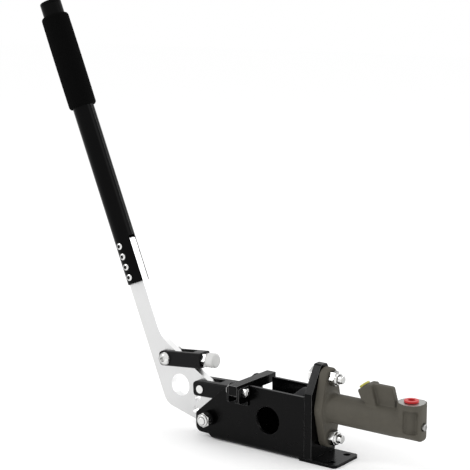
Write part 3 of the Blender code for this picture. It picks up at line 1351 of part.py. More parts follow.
def build():
    """Make every piece and hang the moving ones on their joints."""
    lever_axis = axis_empty("lever_axis", (PIVOT_X, 0.0, PIVOT_HEIGHT))
    rod_axis = axis_empty("pushrod_axis", PIN_POINT)
    rod_axis.parent = lever_axis
    rod_axis.matrix_parent_inverse = lever_axis.matrix_world.inverted()
    bpy.context.view_layer.update()
    piston_axis = axis_empty("piston_axis", (PISTON_FRONT, 0.0, CYLINDER_HEIGHT))
    gate_axis = axis_empty("gate_axis", (GATE_X, GATE_AXIS_Y, GATE_BOLT_HEIGHT))

    part("base_bracket", base_bracket(), BLACK_COAT)
    part("rear_mount_plate", rear_mount_plate(), BLACK_COAT)
    part("gate_hinge_ears", gate_hinge_ears(), BLACK_COAT)
    part("gate_hinge_bolt", gate_hinge_bolt(), ZINC)
    part("gate_hinge_nut", gate_hinge_nut(), ZINC)
    part("gate_bar", gate_bar(), BLACK_COAT, gate_axis)

    part("pivot_bolt", pivot_bolt(), ZINC)
    part("pivot_nut", pivot_nut(), ZINC)
    part("pivot_washer_near", pivot_washer(-1, NEAR_WASHER_THICKNESS), BLACK_COAT)
    part("pivot_washer_far", pivot_washer(1, FAR_WASHER_THICKNESS), ZINC)
    part("pivot_spacer_near", pivot_spacer(-1), ZINC)
    part("pivot_spacer_far", pivot_spacer(1), ZINC)

    part("lever_plate", lever_plate(), BRIGHT_ALUMINIUM, lever_axis)
    part("pivot_bush", pivot_bush(), BRONZE, lever_axis)
    part("handle_tube", handle_tube(), BLACK_TUBE, lever_axis)
    for number, distance in enumerate(handle_screw_places(), 1):
        part(f"handle_screw_{number}", handle_screw(distance), ZINC, lever_axis)
    part("foam_grip", foam_grip(), FOAM, lever_axis)
    part("tube_end_cap", tube_end_cap(), BLACK_TUBE, lever_axis)
    part("stop_strut", stop_strut(), BLACK_COAT, lever_axis)
    part("strut_bolt", strut_bolt(), ZINC, lever_axis)
    part("strut_nut", strut_nut(), ZINC, lever_axis)
    part("bumper_stud", bumper_stud(), ZINC, lever_axis)
    part("bumper_lock_nut", bumper_lock_nut(), ZINC, lever_axis)
    part("bumper_pad", bumper_pad(), WHITE_RUBBER, lever_axis)

    part("pushrod_clevis", pushrod_clevis(), BLACK_COAT, rod_axis)
    part("clevis_pin", clevis_pin(), ZINC, rod_axis)
    part("clevis_pin_clip", clevis_pin_clip(), SPRING_STEEL, rod_axis)
    part("pushrod", pushrod(), ZINC, rod_axis)
    part("pushrod_jam_nut", pushrod_jam_nut(), ZINC, rod_axis)

    secondary, primary = seal_starts()
    part("cylinder_body", cylinder_body(), CAST_GREY)
    for word, height in zip(("lower", "upper"), flange_bolt_heights()):
        part(f"flange_bolt_{word}", flange_bolt(height), ZINC)
        part(f"flange_nut_{word}", flange_nut(height), ZINC)
    part("dust_boot", dust_boot(), RUBBER)
    part("circlip", circlip(), SPRING_STEEL)
    part("piston_stop_washer", piston_stop_washer(), ZINC)
    part("piston", piston(), BRIGHT_ALUMINIUM, piston_axis)
    part("secondary_seal", piston_seal(secondary), RUBBER, piston_axis)
    part("primary_seal", piston_seal(primary), RUBBER, piston_axis)
    part("return_spring", return_spring(), SPRING_STEEL)
    part("outlet_port_plug", outlet_port_plug(), RED_PLASTIC)
    part("reservoir_port_plug", reservoir_port_plug(), YELLOW_PLASTIC)
    part("bleed_screw", bleed_screw(), ZINC)


for existing in list(bpy.data.objects):
    bpy.data.objects.remove(existing)
build()
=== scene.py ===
"""The looks of the hydraulic parking brake lever: black powder coat, satin lever, foam grip, rough casting
and bright fasteners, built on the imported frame. Metres, +Z up, +X towards the master cylinder.
"""
import json
from math import cos, pi, radians, sin

import bmesh
import bpy
from mathutils import Matrix, Vector


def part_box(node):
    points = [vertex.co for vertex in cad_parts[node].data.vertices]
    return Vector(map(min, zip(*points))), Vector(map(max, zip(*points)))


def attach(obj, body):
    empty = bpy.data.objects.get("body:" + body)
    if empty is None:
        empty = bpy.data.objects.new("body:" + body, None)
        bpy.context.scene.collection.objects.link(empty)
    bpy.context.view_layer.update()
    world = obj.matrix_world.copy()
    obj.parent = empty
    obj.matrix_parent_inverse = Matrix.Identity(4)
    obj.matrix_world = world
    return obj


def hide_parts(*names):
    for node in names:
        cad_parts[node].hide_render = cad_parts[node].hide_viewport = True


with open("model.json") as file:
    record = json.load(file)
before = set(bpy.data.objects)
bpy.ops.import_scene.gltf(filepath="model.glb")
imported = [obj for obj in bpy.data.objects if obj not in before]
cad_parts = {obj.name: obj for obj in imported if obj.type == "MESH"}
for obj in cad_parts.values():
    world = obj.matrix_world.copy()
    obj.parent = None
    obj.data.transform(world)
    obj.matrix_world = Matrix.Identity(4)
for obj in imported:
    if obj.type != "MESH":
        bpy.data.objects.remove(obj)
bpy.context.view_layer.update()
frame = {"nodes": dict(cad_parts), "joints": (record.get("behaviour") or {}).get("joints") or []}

nodes = frame["nodes"]
joints = {joint["name"]: joint for joint in frame["joints"]}

# The lever's pivot and lean, and the clearance between neighbouring pieces
PIVOT = Vector(joints["lever_pivot"]["pos_m"])
LEAN = radians(22.4)
GAP = 0.0003

# Widths of the eased edges
SHEET_EDGE = 0.00035
FORK_EDGE = 0.0004
NUT_EDGE = 0.0003
STEEL_EDGE = 0.0002
LOCKNUT_EDGE = 0.00018
SCREW_EDGE = 0.0001

# Small parts are eased in fewer steps, and only where an edge turns by more than this, in degrees
SMALL_STEPS = 2
SMALL_ANGLE = 40
NUT_ANGLE = 35


# Shapes

def new_piece(name, shape):
    """A linked mesh object made from a bmesh."""
    mesh = bpy.data.meshes.new(name)
    shape.to_mesh(mesh)
    shape.free()
    piece = bpy.data.objects.new(name, mesh)
    bpy.context.scene.collection.objects.link(piece)
    return piece


def plain(piece):
    """The piece with its modifiers applied into its mesh."""
    bpy.context.view_layer.update()
    graph = bpy.context.evaluated_depsgraph_get()
    mesh = bpy.data.meshes.new_from_object(piece.evaluated_get(graph))
    piece.modifiers.clear()
    piece.data = mesh
    return piece


def merged_copy(node, name):
    """A copy of a frame node with its loose triangles merged and its flat faces made whole."""
    shape = bmesh.new()
    shape.from_mesh(nodes[node].data)
    bmesh.ops.remove_doubles(shape, verts=shape.verts, dist=2e-6)
    bmesh.ops.dissolve_limit(shape, angle_limit=radians(1.0), verts=shape.verts, edges=shape.edges)
    return new_piece(name, shape)


def eased(piece, width, segments=3, angle=28, edge_slot=-1):
    """Round every sharp edge by a bevel, shade it smooth and keep its large faces flat."""
    bevel = piece.modifiers.new("edges", "BEVEL")
    bevel.material = edge_slot
    bevel.width = width
    bevel.segments = segments
    bevel.limit_method = "ANGLE"
    bevel.angle_limit = radians(angle)
    bevel.harden_normals = False
    bevel.use_clamp_overlap = True
    plain(piece)
    smooth(piece)
    weighted = piece.modifiers.new("flat faces", "WEIGHTED_NORMAL")
    weighted.weight = 100
    weighted.keep_sharp = True
    return plain(piece)


def smooth(piece, angle=30):
    """Shade smooth, with edges sharper than the angle kept sharp."""
    piece.data.shade_smooth()
    piece.data.set_sharp_from_angle(angle=radians(angle))
    return piece


def turned(name, profile, origin=(0, 0, 0), axis=(0, 0, 1), segments=96, ring=False):
    """A profile of (distance, radius) points turned about the axis through origin."""
    along = Vector(axis).normalized()
    side = along.orthogonal().normalized()
    other = along.cross(side)
    start = Vector(origin)
    shape = bmesh.new()
    rows = []
    for distance, radius in profile:
        if radius <= 0.0:
            rows.append([shape.verts.new(start + along * distance)])
            continue
        row = []
        for step in range(segments):
            angle = 2 * pi * step / segments
            offset = side * (radius * cos(angle)) + other * (radius * sin(angle))
            row.append(shape.verts.new(start + along * distance + offset))
        rows.append(row)
    pairs = list(zip(rows, rows[1:]))
    if ring:
        pairs.append((rows[-1], rows[0]))
    for first, second in pairs:
        for step in range(segments):
            following = (step + 1) % segments
            corners = [first[step % len(first)], first[following % len(first)]]
            corners += [second[following % len(second)], second[step % len(second)]]
            unique = list(dict.fromkeys(corners))
            if len(unique) > 2:
                shape.faces.new(unique)
    bmesh.ops.recalc_face_normals(shape, faces=shape.faces)
    return new_piece(name, shape)


def prism(name, outline, low, high):
    """An outline of (x, y) points extruded along Z."""
    shape = bmesh.new()
    bottom = [shape.verts.new((x, y, low)) for x, y in outline]
    top = [shape.verts.new((x, y, high)) for x, y in outline]
    shape.faces.new(bottom)
    shape.faces.new(reversed(top))
    count = len(outline)
    for index in range(count):
        following = (index + 1) % count
        shape.faces.new((bottom[index], bottom[following], top[following], top[index]))
    bmesh.ops.recalc_face_normals(shape, faces=shape.faces)
    return new_piece(name, shape)


def hexagon(across_flats, turn):
    """Corners of a hexagon about the origin."""
    radius = across_flats / 2 / cos(pi / 6)
    return [(radius * cos(turn + side * pi / 3), radius * sin(turn + side * pi / 3)) for side in range(6)]


def boolean(target, tool, operation):
    """Apply one exact boolean to target and delete the tool."""
    modifier = target.modifiers.new("boolean", "BOOLEAN")
    modifier.operation = operation
    modifier.solver = "EXACT"
    modifier.object = tool
    plain(target)
    bpy.data.objects.remove(tool)
    return target


def facing(place, axis):
    """The matrix that takes +Z to axis and the origin to place."""
    turn = Vector((0, 0, 1)).rotation_difference(Vector(axis).normalized())
    return Matrix.Translation(Vector(place)) @ turn.to_matrix().to_4x4()


def moved(piece, matrix):
    """The piece with its mesh moved by a matrix."""
    piece.data.transform(matrix)
    return piece


def arc_profile(centre, radius, start, end, steps):
    """Points of an arc in a profile, angles in quarter turns from the axis direction."""
    points = []
    for step in range(steps + 1):
        angle = (start + (end - start) * step / steps) * pi / 2
        points.append((centre[0] + radius * cos(angle), centre[1] + radius * sin(angle)))
    return points


# Node groups and materials

def group_sockets(tree, inputs, outputs):
    """Named sockets of a node group: inputs are (name, type, default), outputs are (name, type)."""
    for name, kind, default in inputs:
        socket = tree.interface.new_socket(name=name, in_out="INPUT", socket_type=kind)
        if default is not None:
            socket.default_value = default
    for name, kind in outputs:
        tree.interface.new_socket(name=name, in_out="OUTPUT", socket_type=kind)


def linked(tree, kind, values=None, links=None, **settings):
    """One node with its settings, its input values and its incoming links."""
    node = tree.nodes.new(kind)
    for key, value in settings.items():
        setattr(node, key, value)
    for key, value in (values or {}).items():
        node.inputs[key].default_value = value
    for key, source in (links or {}).items():
        tree.links.new(source, node.inputs[key])
    return node


def surface_grain_group():
    """Fine and coarse noise as a height, with a mask for colour variation."""
    tree = bpy.data.node_groups.new("surface grain", "ShaderNodeTree")
    group_sockets(tree, [
        ("Fine Scale", "NodeSocketFloat", 2000.0),
        ("Coarse Scale", "NodeSocketFloat", 60.0),
        ("Fine Share", "NodeSocketFloat", 0.5),
    ], [("Height", "NodeSocketFloat"), ("Mask", "NodeSocketFloat")])
    inside = tree.nodes.new("NodeGroupInput")
    outside = tree.nodes.new("NodeGroupOutput")
    place = tree.nodes.new("ShaderNodeTexCoord").outputs["Object"]
    fine = linked(tree, "ShaderNodeTexNoise", {"Detail": 3.0, "Roughness": 0.55},
                  {"Vector": place, "Scale": inside.outputs["Fine Scale"]})
    coarse = linked(tree, "ShaderNodeTexNoise", {"Detail": 4.0, "Roughness": 0.6},
                    {"Vector": place, "Scale": inside.outputs["Coarse Scale"]})
    mixed = linked(tree, "ShaderNodeMix", None, {0: inside.outputs["Fine Share"], 2: coarse.outputs[0],
                                                3: fine.outputs[0]})
    tree.links.new(mixed.outputs[0], outside.inputs["Height"])
    tree.links.new(coarse.outputs[0], outside.inputs["Mask"])
    return tree


def brushed_group():
    """Long fine scratches along one direction, as a height and a mask."""
    tree = bpy.data.node_groups.new("brushed lines", "ShaderNodeTree")
    group_sockets(tree, [
        ("Angle", "NodeSocketVector", (0.0, 0.0, 0.0)),
        ("Stretch", "NodeSocketVector", (3000.0, 3000.0, 60.0)),
    ], [("Height", "NodeSocketFloat"), ("Mask", "NodeSocketFloat")])
    inside = tree.nodes.new("NodeGroupInput")
    outside = tree.nodes.new("NodeGroupOutput")
    place = tree.nodes.new("ShaderNodeTexCoord").outputs["Object"]
    turned_place = linked(tree, "ShaderNodeVectorRotate", None,
                          {"Vector": place, "Rotation": inside.outputs["Angle"]}, rotation_type="EULER_XYZ")
    stretched = linked(tree, "ShaderNodeVectorMath", None,
                       {0: turned_place.outputs[0], 1: inside.outputs["Stretch"]}, operation="MULTIPLY")
    noise = linked(tree, "ShaderNodeTexNoise", {"Scale": 1.0, "Detail": 2.0},
                   {"Vector": stretched.outputs[0]})
    cloud = linked(tree, "ShaderNodeTexNoise", {"Scale": 40.0, "Detail": 3.0}, {"Vector": place})
    tree.links.new(noise.outputs[0], outside.inputs["Height"])
    tree.links.new(cloud.outputs[0], outside.inputs["Mask"])
    return tree


grain_group = surface_grain_group()
lines_group = brushed_group()


def placed(tree, group, **values):
    """A node group placed in a material with its own values. Underscores in names stand for spaces."""
    node = tree.nodes.new("ShaderNodeGroup")
    node.node_tree = group
    for key, value in values.items():
        node.inputs[key.replace("_", " ").title()].default_value = value
    return node


def new_material(name, roughness, metallic, **shader_values):
    """A material with one Principled shader whose constants sit on its own sockets."""
    material = bpy.data.materials.new(name)
    material.use_nodes = True
    tree = material.node_tree
    shader = tree.nodes["Principled BSDF"]
    shader.inputs["Roughness"].default_value = roughness
    shader.inputs["Metallic"].default_value = metallic
    for key, value in shader_values.items():
        shader.inputs[key.replace("_", " ")].default_value = value
    return material, tree, shader


def ranged(tree, source, low, high, from_low=0.3, from_high=0.7):
    """A value spread from a mask."""
    return linked(tree, "ShaderNodeMapRange", {"From Min": from_low, "From Max": from_high, "To Min": low,
                                              "To Max": high}, {"Value": source}).outputs[0]


def blended(tree, factor, first, second):
    """A colour between two, by a mask. Either colour may be a socket or a constant."""
    node = tree.nodes.new("ShaderNodeMix")
    node.data_type = "RGBA"
    tree.links.new(factor, node.inputs[0])
    for index, colour in ((6, first), (7, second)):
        if isinstance(colour, tuple):
            node.inputs[index].default_value = (*colour, 1.0)
        else:
            tree.links.new(colour, node.inputs[index])
    return node.outputs[2]


def grey(level):
    """A neutral colour."""
    return (level, level, level)


def scaled(colour, share):
    """A colour made darker or lighter."""
    return tuple(channel * share for channel in colour)


def bumped(tree, shader, height, strength, distance):
    """Feed a height to the shader's normal."""
    node = linked(tree, "ShaderNodeBump", {"Strength": strength, "Distance": distance}, {"Height": height})
    tree.links.new(node.outputs[0], shader.inputs["Normal"])


def powder_coat(name, base, high, roughness, specular, peel=0.10):
    """Gloss black coat with a faint orange peel, slightly uneven in tone."""
    material, tree, shader = new_material(name, roughness, 0.0, Specular_IOR_Level=specular)
    grain = placed(tree, grain_group, fine_scale=1500.0, coarse_scale=45.0, fine_share=0.35)
    tree.links.new(blended(tree, grain.outputs["Mask"], base, high), shader.inputs["Base Color"])
    tree.links.new(ranged(tree, grain.outputs["Mask"], roughness * 0.8, roughness * 1.25),
                   shader.inputs["Roughness"])
    bumped(tree, shader, grain.outputs["Height"], strength=peel, distance=0.00012)
    return material


def satin_aluminium(name, colour, angle, roughness=0.36):
    """Machined aluminium with fine lines along one direction."""
    material, tree, shader = new_material(name, roughness, 1.0)
    lines = placed(tree, lines_group, angle=angle, stretch=(2600.0, 2600.0, 70.0))
    dim = scaled(colour, 0.93)
    tree.links.new(blended(tree, lines.outputs["Mask"], dim, colour), shader.inputs["Base Color"])
    tree.links.new(ranged(tree, lines.outputs["Height"], roughness * 0.85, roughness * 1.2),
                   shader.inputs["Roughness"])
    bumped(tree, shader, lines.outputs["Height"], strength=0.05, distance=0.00005)
    return material


def bright_zinc(name, colour, shade, roughness=0.20):
    """Plated steel, slightly uneven, with painted shade where it turns away from the eye."""
    material, tree, shader = new_material(name, roughness, 1.0)
    grain = placed(tree, grain_group, fine_scale=2400.0, coarse_scale=260.0, fine_share=0.4)
    dim = scaled(colour, 0.82)
    facing_away = linked(tree, "ShaderNodeLayerWeight", {"Blend": 0.45}).outputs["Facing"]
    plated = blended(tree, grain.outputs["Mask"], dim, colour)
    # Painted shade: the colour goes over to the shade colour where the surface turns away from the eye
    grazing_painted_shade = ranged(tree, facing_away, low=0.0, high=1.0, from_low=0.25, from_high=0.75)
    tree.links.new(blended(tree, grazing_painted_shade, plated, shade), shader.inputs["Base Color"])
    tree.links.new(ranged(tree, grain.outputs["Mask"], roughness * 0.75, roughness * 1.4),
                   shader.inputs["Roughness"])
    bumped(tree, shader, grain.outputs["Height"], strength=0.04, distance=0.00005)
    return material


def rough_casting(name, colour, dark, roughness=0.62):
    """Sand-cast skin: matt and finely pitted, mottled in tone."""
    material, tree, shader = new_material(name, roughness, 0.0, Specular_IOR_Level=0.18)
    grain = placed(tree, grain_group, fine_scale=1150.0, coarse_scale=110.0, fine_share=0.62)
    tree.links.new(blended(tree, grain.outputs["Mask"], dark, colour), shader.inputs["Base Color"])
    tree.links.new(ranged(tree, grain.outputs["Height"], roughness * 0.9, roughness * 1.12),
                   shader.inputs["Roughness"])
    bumped(tree, shader, grain.outputs["Height"], strength=0.30, distance=0.00018)
    return material


def machined_ring(name, colour, centre):
    """Turned metal with fine rings about a vertical axis through the centre."""
    material, tree, shader = new_material(name, roughness=0.34, metallic=1.0)
    place = tree.nodes.new("ShaderNodeTexCoord").outputs["Object"]
    about = linked(tree, "ShaderNodeMapping", {"Location": tuple(-value for value in centre)},
                   {"Vector": place})
    rings = linked(tree, "ShaderNodeTexWave", {"Scale": 900.0, "Distortion": 0.4, "Detail": 2.0},
                   {"Vector": about.outputs[0]}, wave_type="RINGS", rings_direction="Z")
    dim = scaled(colour, 0.85)
    tree.links.new(blended(tree, rings.outputs[1], dim, colour), shader.inputs["Base Color"])
    bumped(tree, shader, rings.outputs[1], strength=0.08, distance=0.00004)
    return material


def soft_foam(name, colour):
    """Closed-cell foam: very matt, with tiny open cells on its skin."""
    material, tree, shader = new_material(name, 0.96, 0.0, Specular_IOR_Level=0.03)
    place = tree.nodes.new("ShaderNodeTexCoord").outputs["Object"]
    cells = linked(tree, "ShaderNodeTexVoronoi", {"Scale": 1700.0}, {"Vector": place}, feature="F1")
    grain = placed(tree, grain_group, fine_scale=900.0, coarse_scale=90.0, fine_share=0.4)
    # The cells' pits are painted darker than their walls: painted shade in the pits
    light = scaled(colour, 2.2)
    cell_wall = ranged(tree, cells.outputs["Distance"], low=0.0, high=1.0, from_low=0.1, from_high=0.6)
    tree.links.new(blended(tree, cell_wall, colour, light), shader.inputs["Base Color"])
    height = linked(tree, "ShaderNodeMath", None, {0: cells.outputs["Distance"],
                                                   1: grain.outputs["Height"]}, operation="ADD")
    bumped(tree, shader, height.outputs[0], strength=0.75, distance=0.00035)
    return material


def matt_rubber(name, colour, roughness=0.7, specular=0.3):
    """Moulded rubber with a soft mottled skin."""
    material, tree, shader = new_material(name, roughness, 0.0, Specular_IOR_Level=specular)
    grain = placed(tree, grain_group, fine_scale=1300.0, coarse_scale=150.0, fine_share=0.5)
    dim = scaled(colour, 0.9)
    tree.links.new(blended(tree, grain.outputs["Mask"], dim, colour), shader.inputs["Base Color"])
    bumped(tree, shader, grain.outputs["Height"], strength=0.15, distance=0.0001)
    return material


def moulded_plastic(name, colour, roughness=0.38):
    """Satin moulded plastic."""
    material, tree, shader = new_material(name, roughness, 0.0)
    grain = placed(tree, grain_group, fine_scale=1800.0, coarse_scale=200.0, fine_share=0.4)
    dim = scaled(colour, 0.86)
    tree.links.new(blended(tree, grain.outputs["Mask"], dim, colour), shader.inputs["Base Color"])
    bumped(tree, shader, grain.outputs["Height"], strength=0.08, distance=0.00006)
    return material


coat = powder_coat("gloss black coat", base=(0.0008, 0.0008, 0.0009), high=(0.0015, 0.0015, 0.0016),
                   roughness=0.24, specular=0.09)
# The coat's eased edges are painted grey: a painted highlight
coat_edge_highlight = powder_coat("painted highlight on the coat's edge", base=grey(0.110), high=grey(0.170), roughness=0.30,
                        specular=0.40)
fork_coat = powder_coat("satin black coat on the forks", base=(0.0040, 0.0040, 0.0043),
                        high=(0.0060, 0.0060, 0.0063), roughness=0.30, specular=0.09)
tube_coat = powder_coat("black anodised tube", base=(0.0015, 0.0015, 0.0016), high=(0.0025, 0.0025, 0.0026),
                        roughness=0.20, specular=0.05, peel=0.03)
lever_metal = satin_aluminium("satin lever aluminium", colour=grey(0.66), angle=(0.0, LEAN, 0.0))
# The milled edges are painted near white: a painted highlight on a smoother milled finish
lever_edge_highlight = satin_aluminium("milled lever edge with painted highlight", colour=grey(0.94), angle=(0.0, LEAN, 0.0), roughness=0.30)
# A near-black zinc painted into the screw sockets as shade
painted_socket_shade = bright_zinc("painted socket shade", colour=grey(0.035), shade=grey(0.02), roughness=0.45)
piston_metal = satin_aluminium("turned piston aluminium", colour=(0.60, 0.60, 0.61),
                               angle=(0.0, pi / 2, 0.0))
zinc = bright_zinc("bright zinc", colour=(0.78, 0.78, 0.77), shade=grey(0.06))
dull_zinc = bright_zinc("dull zinc", colour=(0.42, 0.42, 0.41), shade=grey(0.05), roughness=0.34)
spring_steel = bright_zinc("spring steel", colour=(0.34, 0.34, 0.35), shade=grey(0.05), roughness=0.32)
bronze = bright_zinc("sintered bronze", colour=(0.45, 0.31, 0.15), shade=(0.08, 0.05, 0.02), roughness=0.38)
casting = rough_casting("olive grey casting", colour=(0.086, 0.079, 0.063), dark=(0.062, 0.057, 0.046))
# These rings are centred on a corner of the plug's box
machined = machined_ring("machined top of the outlet", colour=(0.40, 0.40, 0.38),
                         centre=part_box("outlet_port_plug")[0])
foam = soft_foam("black foam", grey(0.0012))
rubber = matt_rubber("black rubber", (0.012, 0.012, 0.013))
white_rubber = matt_rubber("white bumper rubber", (0.62, 0.62, 0.61), roughness=0.5)
red_plastic = moulded_plastic("red plug", (0.55, 0.010, 0.012))
yellow_plastic = moulded_plastic("yellow plug", (0.50, 0.46, 0.07))


def done(piece, material, body, replaced=()):
    """Give a finished piece its material, its body and the nodes it stands for."""
    if material is not None:
        piece.data.materials.clear()
        piece.data.materials.append(material)
        for polygon in piece.data.polygons:
            polygon.material_index = 0
    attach(piece, body)
    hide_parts(*replaced)
    return piece


def keep_node(node, material):
    """A frame node that stays, with a procedural material."""
    item = nodes[node]
    item.data.materials.clear()
    item.data.materials.append(material)
    for polygon in item.data.polygons:
        polygon.material_index = 0
        polygon.use_smooth = False


# Repeated fasteners

def row_tree():
    """A geometry tree that sets copies of one fastener in a straight row."""
    tree = bpy.data.node_groups.new("fastener row", "GeometryNodeTree")
    group_sockets(tree, [
        ("Fastener", "NodeSocketObject", None),
        ("Count", "NodeSocketInt", 4),
        ("First", "NodeSocketVector", (0.0, 0.0, 0.0)),
        ("Step", "NodeSocketVector", (0.0, 0.0, 0.01)),
        ("Finish", "NodeSocketMaterial", None),
    ], [("Geometry", "NodeSocketGeometry")])
    inside = tree.nodes.new("NodeGroupInput")
    outside = tree.nodes.new("NodeGroupOutput")
    line = linked(tree, "GeometryNodeMeshLine", None, {
        "Count": inside.outputs["Count"], "Start Location": inside.outputs["First"],
        "Offset": inside.outputs["Step"]}, mode="OFFSET")
    source = linked(tree, "GeometryNodeObjectInfo", None, {"Object": inside.outputs["Fastener"]},
                    transform_space="ORIGINAL")
    copies = linked(tree, "GeometryNodeInstanceOnPoints", None, {
        "Points": line.outputs[0], "Instance": source.outputs["Geometry"]})
    real = linked(tree, "GeometryNodeRealizeInstances", None, {"Geometry": copies.outputs[0]})
    painted = linked(tree, "GeometryNodeSetMaterial", None, {
        "Geometry": real.outputs[0], "Material": inside.outputs["Finish"]})
    tree.links.new(painted.outputs[0], outside.inputs["Geometry"])
    return tree


fastener_row = row_tree()


def grown(name, tree, **values):
    """A plain mesh piece grown by a geometry tree with its own input values."""
    piece = new_piece(name, bmesh.new())
    modifier = piece.modifiers.new("grow", "NODES")
    modifier.node_group = tree
    sockets = {item.name: item.identifier for item in tree.interface.items_tree if item.in_out == "INPUT"}
    for key, value in values.items():
        modifier[sockets[key.replace("_", " ").title()]] = value
    return plain(piece)


# Fasteners

# A locking nut: its bore and collar, and shares of its size for the chamfers and the collar's round top
NUT_BORE = 0.0086
NUT_COLLAR = 0.0022
NUT_FACE = 0.985
FOOT_WIDTH = 0.6
FOOT_RISE = 0.45
CROWN_DROP = 0.62
COLLAR_WIDTH = 0.93
COLLAR_ROUND = 0.6
FASTENER_SEGMENTS = 64

# A handle screw: head, shank, hexagon socket, and the radius of the painted shade in the socket
SCREW_HEAD = 0.0070
SCREW_HEAD_HEIGHT = 0.0014
SCREW_DIAMETER = 0.005
SCREW_SOCKET = 0.0036
SCREW_RIM = 0.0003
PAINTED_SHADE_RADIUS = 0.0019


def nut_shape(name, across_flats, height):
    """A locking nut from z = 0 to its height, with chamfered corners and a turned collar."""
    body_height = height - NUT_COLLAR
    half = across_flats / 2
    corner = half / cos(pi / 6)
    rim = corner - half * NUT_FACE
    beyond = corner + 0.0002
    nut = prism(name, hexagon(across_flats, pi / 6), 0.0, body_height)
    cone = [(0.0, 0.0), (0.0, corner - rim * FOOT_WIDTH), (rim * FOOT_RISE, beyond),
            (body_height - rim * CROWN_DROP, beyond), (body_height, corner - rim), (body_height, 0.0)]
    boolean(nut, turned("chamfer", cone, segments=FASTENER_SEGMENTS), "INTERSECT")
    outer = half * COLLAR_WIDTH
    top_round = NUT_COLLAR * COLLAR_ROUND
    collar = [(body_height * 0.5, 0.0), (body_height * 0.5, outer), (height - top_round, outer)]
    collar += arc_profile((height - top_round, outer - top_round), top_round, 1.0, 0.0, 5)
    collar.append((height, 0.0))
    boolean(nut, turned("collar", collar, segments=FASTENER_SEGMENTS), "UNION")
    hole = [(-height, 0.0), (-height, NUT_BORE / 2), (2 * height, NUT_BORE / 2), (2 * height, 0.0)]
    boolean(nut, turned("hole", hole, segments=FASTENER_SEGMENTS), "DIFFERENCE")
    return eased(nut, LOCKNUT_EDGE, SMALL_STEPS, NUT_ANGLE)


def domed_screw(length):
    """A button-head screw with a hexagon socket, its seat at z = 0 and its shank along +Z."""
    half = SCREW_HEAD / 2
    dome = [(-SCREW_RIM, half)]
    for step in range(1, 13):
        angle = step * pi / 24
        dome.append((-SCREW_RIM - (SCREW_HEAD_HEIGHT - SCREW_RIM) * sin(angle), half * cos(angle) ** 0.62))
    dome = [point for point in dome if point[1] > SCREW_SOCKET * 0.62]
    dome += [(-SCREW_HEAD_HEIGHT, SCREW_SOCKET * 0.60), (-SCREW_HEAD_HEIGHT, 0.0)]
    shank = [(length, 0.0), (length, SCREW_DIAMETER / 2), (0.0, SCREW_DIAMETER / 2)]
    screw = turned("screw", shank + dome, segments=FASTENER_SEGMENTS)
    recess = prism("socket", hexagon(SCREW_SOCKET, 0.2), -2 * SCREW_HEAD_HEIGHT, -SCREW_HEAD_HEIGHT * 0.42)
    boolean(screw, recess, "DIFFERENCE")
    return eased(screw, SCREW_EDGE, SMALL_STEPS, SMALL_ANGLE)


def placed_nut(node, name, axis):
    """A locking nut in the place of a frame node, along X or Y."""
    low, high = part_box(node)
    centre = (low + high) / 2
    along = Vector(axis)
    height = abs((high - low).dot(along))
    across = min(size for size, part in zip(high - low, along) if part == 0.0)
    nut = nut_shape(name, across, height)
    moved(nut, facing(centre - along * (height / 2), along))
    return done(nut, zinc, "frame", [node])


# Lever

def tube_matrix():
    """The tube's frame, from the frame's own box: origin at its foot, +Z along it, +X to the rear."""
    low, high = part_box("handle_tube")
    radius = (high.y - low.y) / 2
    foot = Vector((high.x - radius * cos(LEAN), 0.0, low.z + radius * sin(LEAN)))
    length = (high.z - foot.z - radius * sin(LEAN)) / cos(LEAN)
    return Matrix.Translation(foot) @ Matrix.Rotation(-LEAN, 4, "Y"), radius, length


TUBE, TUBE_RADIUS, TUBE_LENGTH = tube_matrix()
TUBE_WALL = 0.002
TUBE_SLOT = 0.048
SLOT_HALF = (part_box("lever_plate")[1].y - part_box("lever_plate")[0].y) / 2 + GAP
SCREW_BORE_RADIUS = 0.0028
SCREW_COUNT = 4
SCREW_STEP = 0.011
SCREW_FIRST = 0.007
SCREW_SEAT = -TUBE_RADIUS - GAP

# A lever face whose normal leans less than this towards Y belongs to the milled edge
EDGE_LEAN = 0.3

# The casting: how far the outlet's plug stands proud, the grain of its skin and the steps that soften it
PLUG_PROUD = 0.0021
CAST_VOXEL = 0.0007
CAST_SOFTENING = 6


def handle_tube():
    """The long tube, slotted over the lever plate."""
    inner = TUBE_RADIUS - TUBE_WALL
    edge = 0.0004
    beyond = 0.03
    profile = [(edge, inner), (0.0, inner + edge), (0.0, TUBE_RADIUS - edge), (edge, TUBE_RADIUS),
               (TUBE_LENGTH, TUBE_RADIUS), (TUBE_LENGTH, inner)]
    pipe = turned("handle_tube_shell", profile, segments=128, ring=True)
    corners = [(-beyond, -SLOT_HALF), (beyond, -SLOT_HALF), (beyond, SLOT_HALF), (-beyond, SLOT_HALF)]
    boolean(pipe, prism("slot", corners, -0.01, TUBE_SLOT), "DIFFERENCE")
    across = [(-beyond, 0.0), (-beyond, SCREW_BORE_RADIUS), (beyond, SCREW_BORE_RADIUS), (beyond, 0.0)]
    for index in range(SCREW_COUNT):
        bore = turned("bore", across, origin=(0, 0, SCREW_FIRST + index * SCREW_STEP), axis=(0, 1, 0),
                      segments=32)
        boolean(pipe, bore, "DIFFERENCE")
    eased(pipe, STEEL_EDGE, SMALL_STEPS, SMALL_ANGLE)
    moved(pipe, TUBE)
    done(pipe, tube_coat, "lever", ["handle_tube"])


def grip_span():
    """Where the foam starts and ends along the tube, and its outer radius, from its box."""
    low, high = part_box("foam_grip")
    radius = (high.y - low.y) / 2
    foot = TUBE.translation.z
    end = (high.z - foot - radius * sin(LEAN) * 0.9) / cos(LEAN)
    start = (low.z - foot + radius * sin(LEAN) * 0.9) / cos(LEAN)
    return start, end, radius


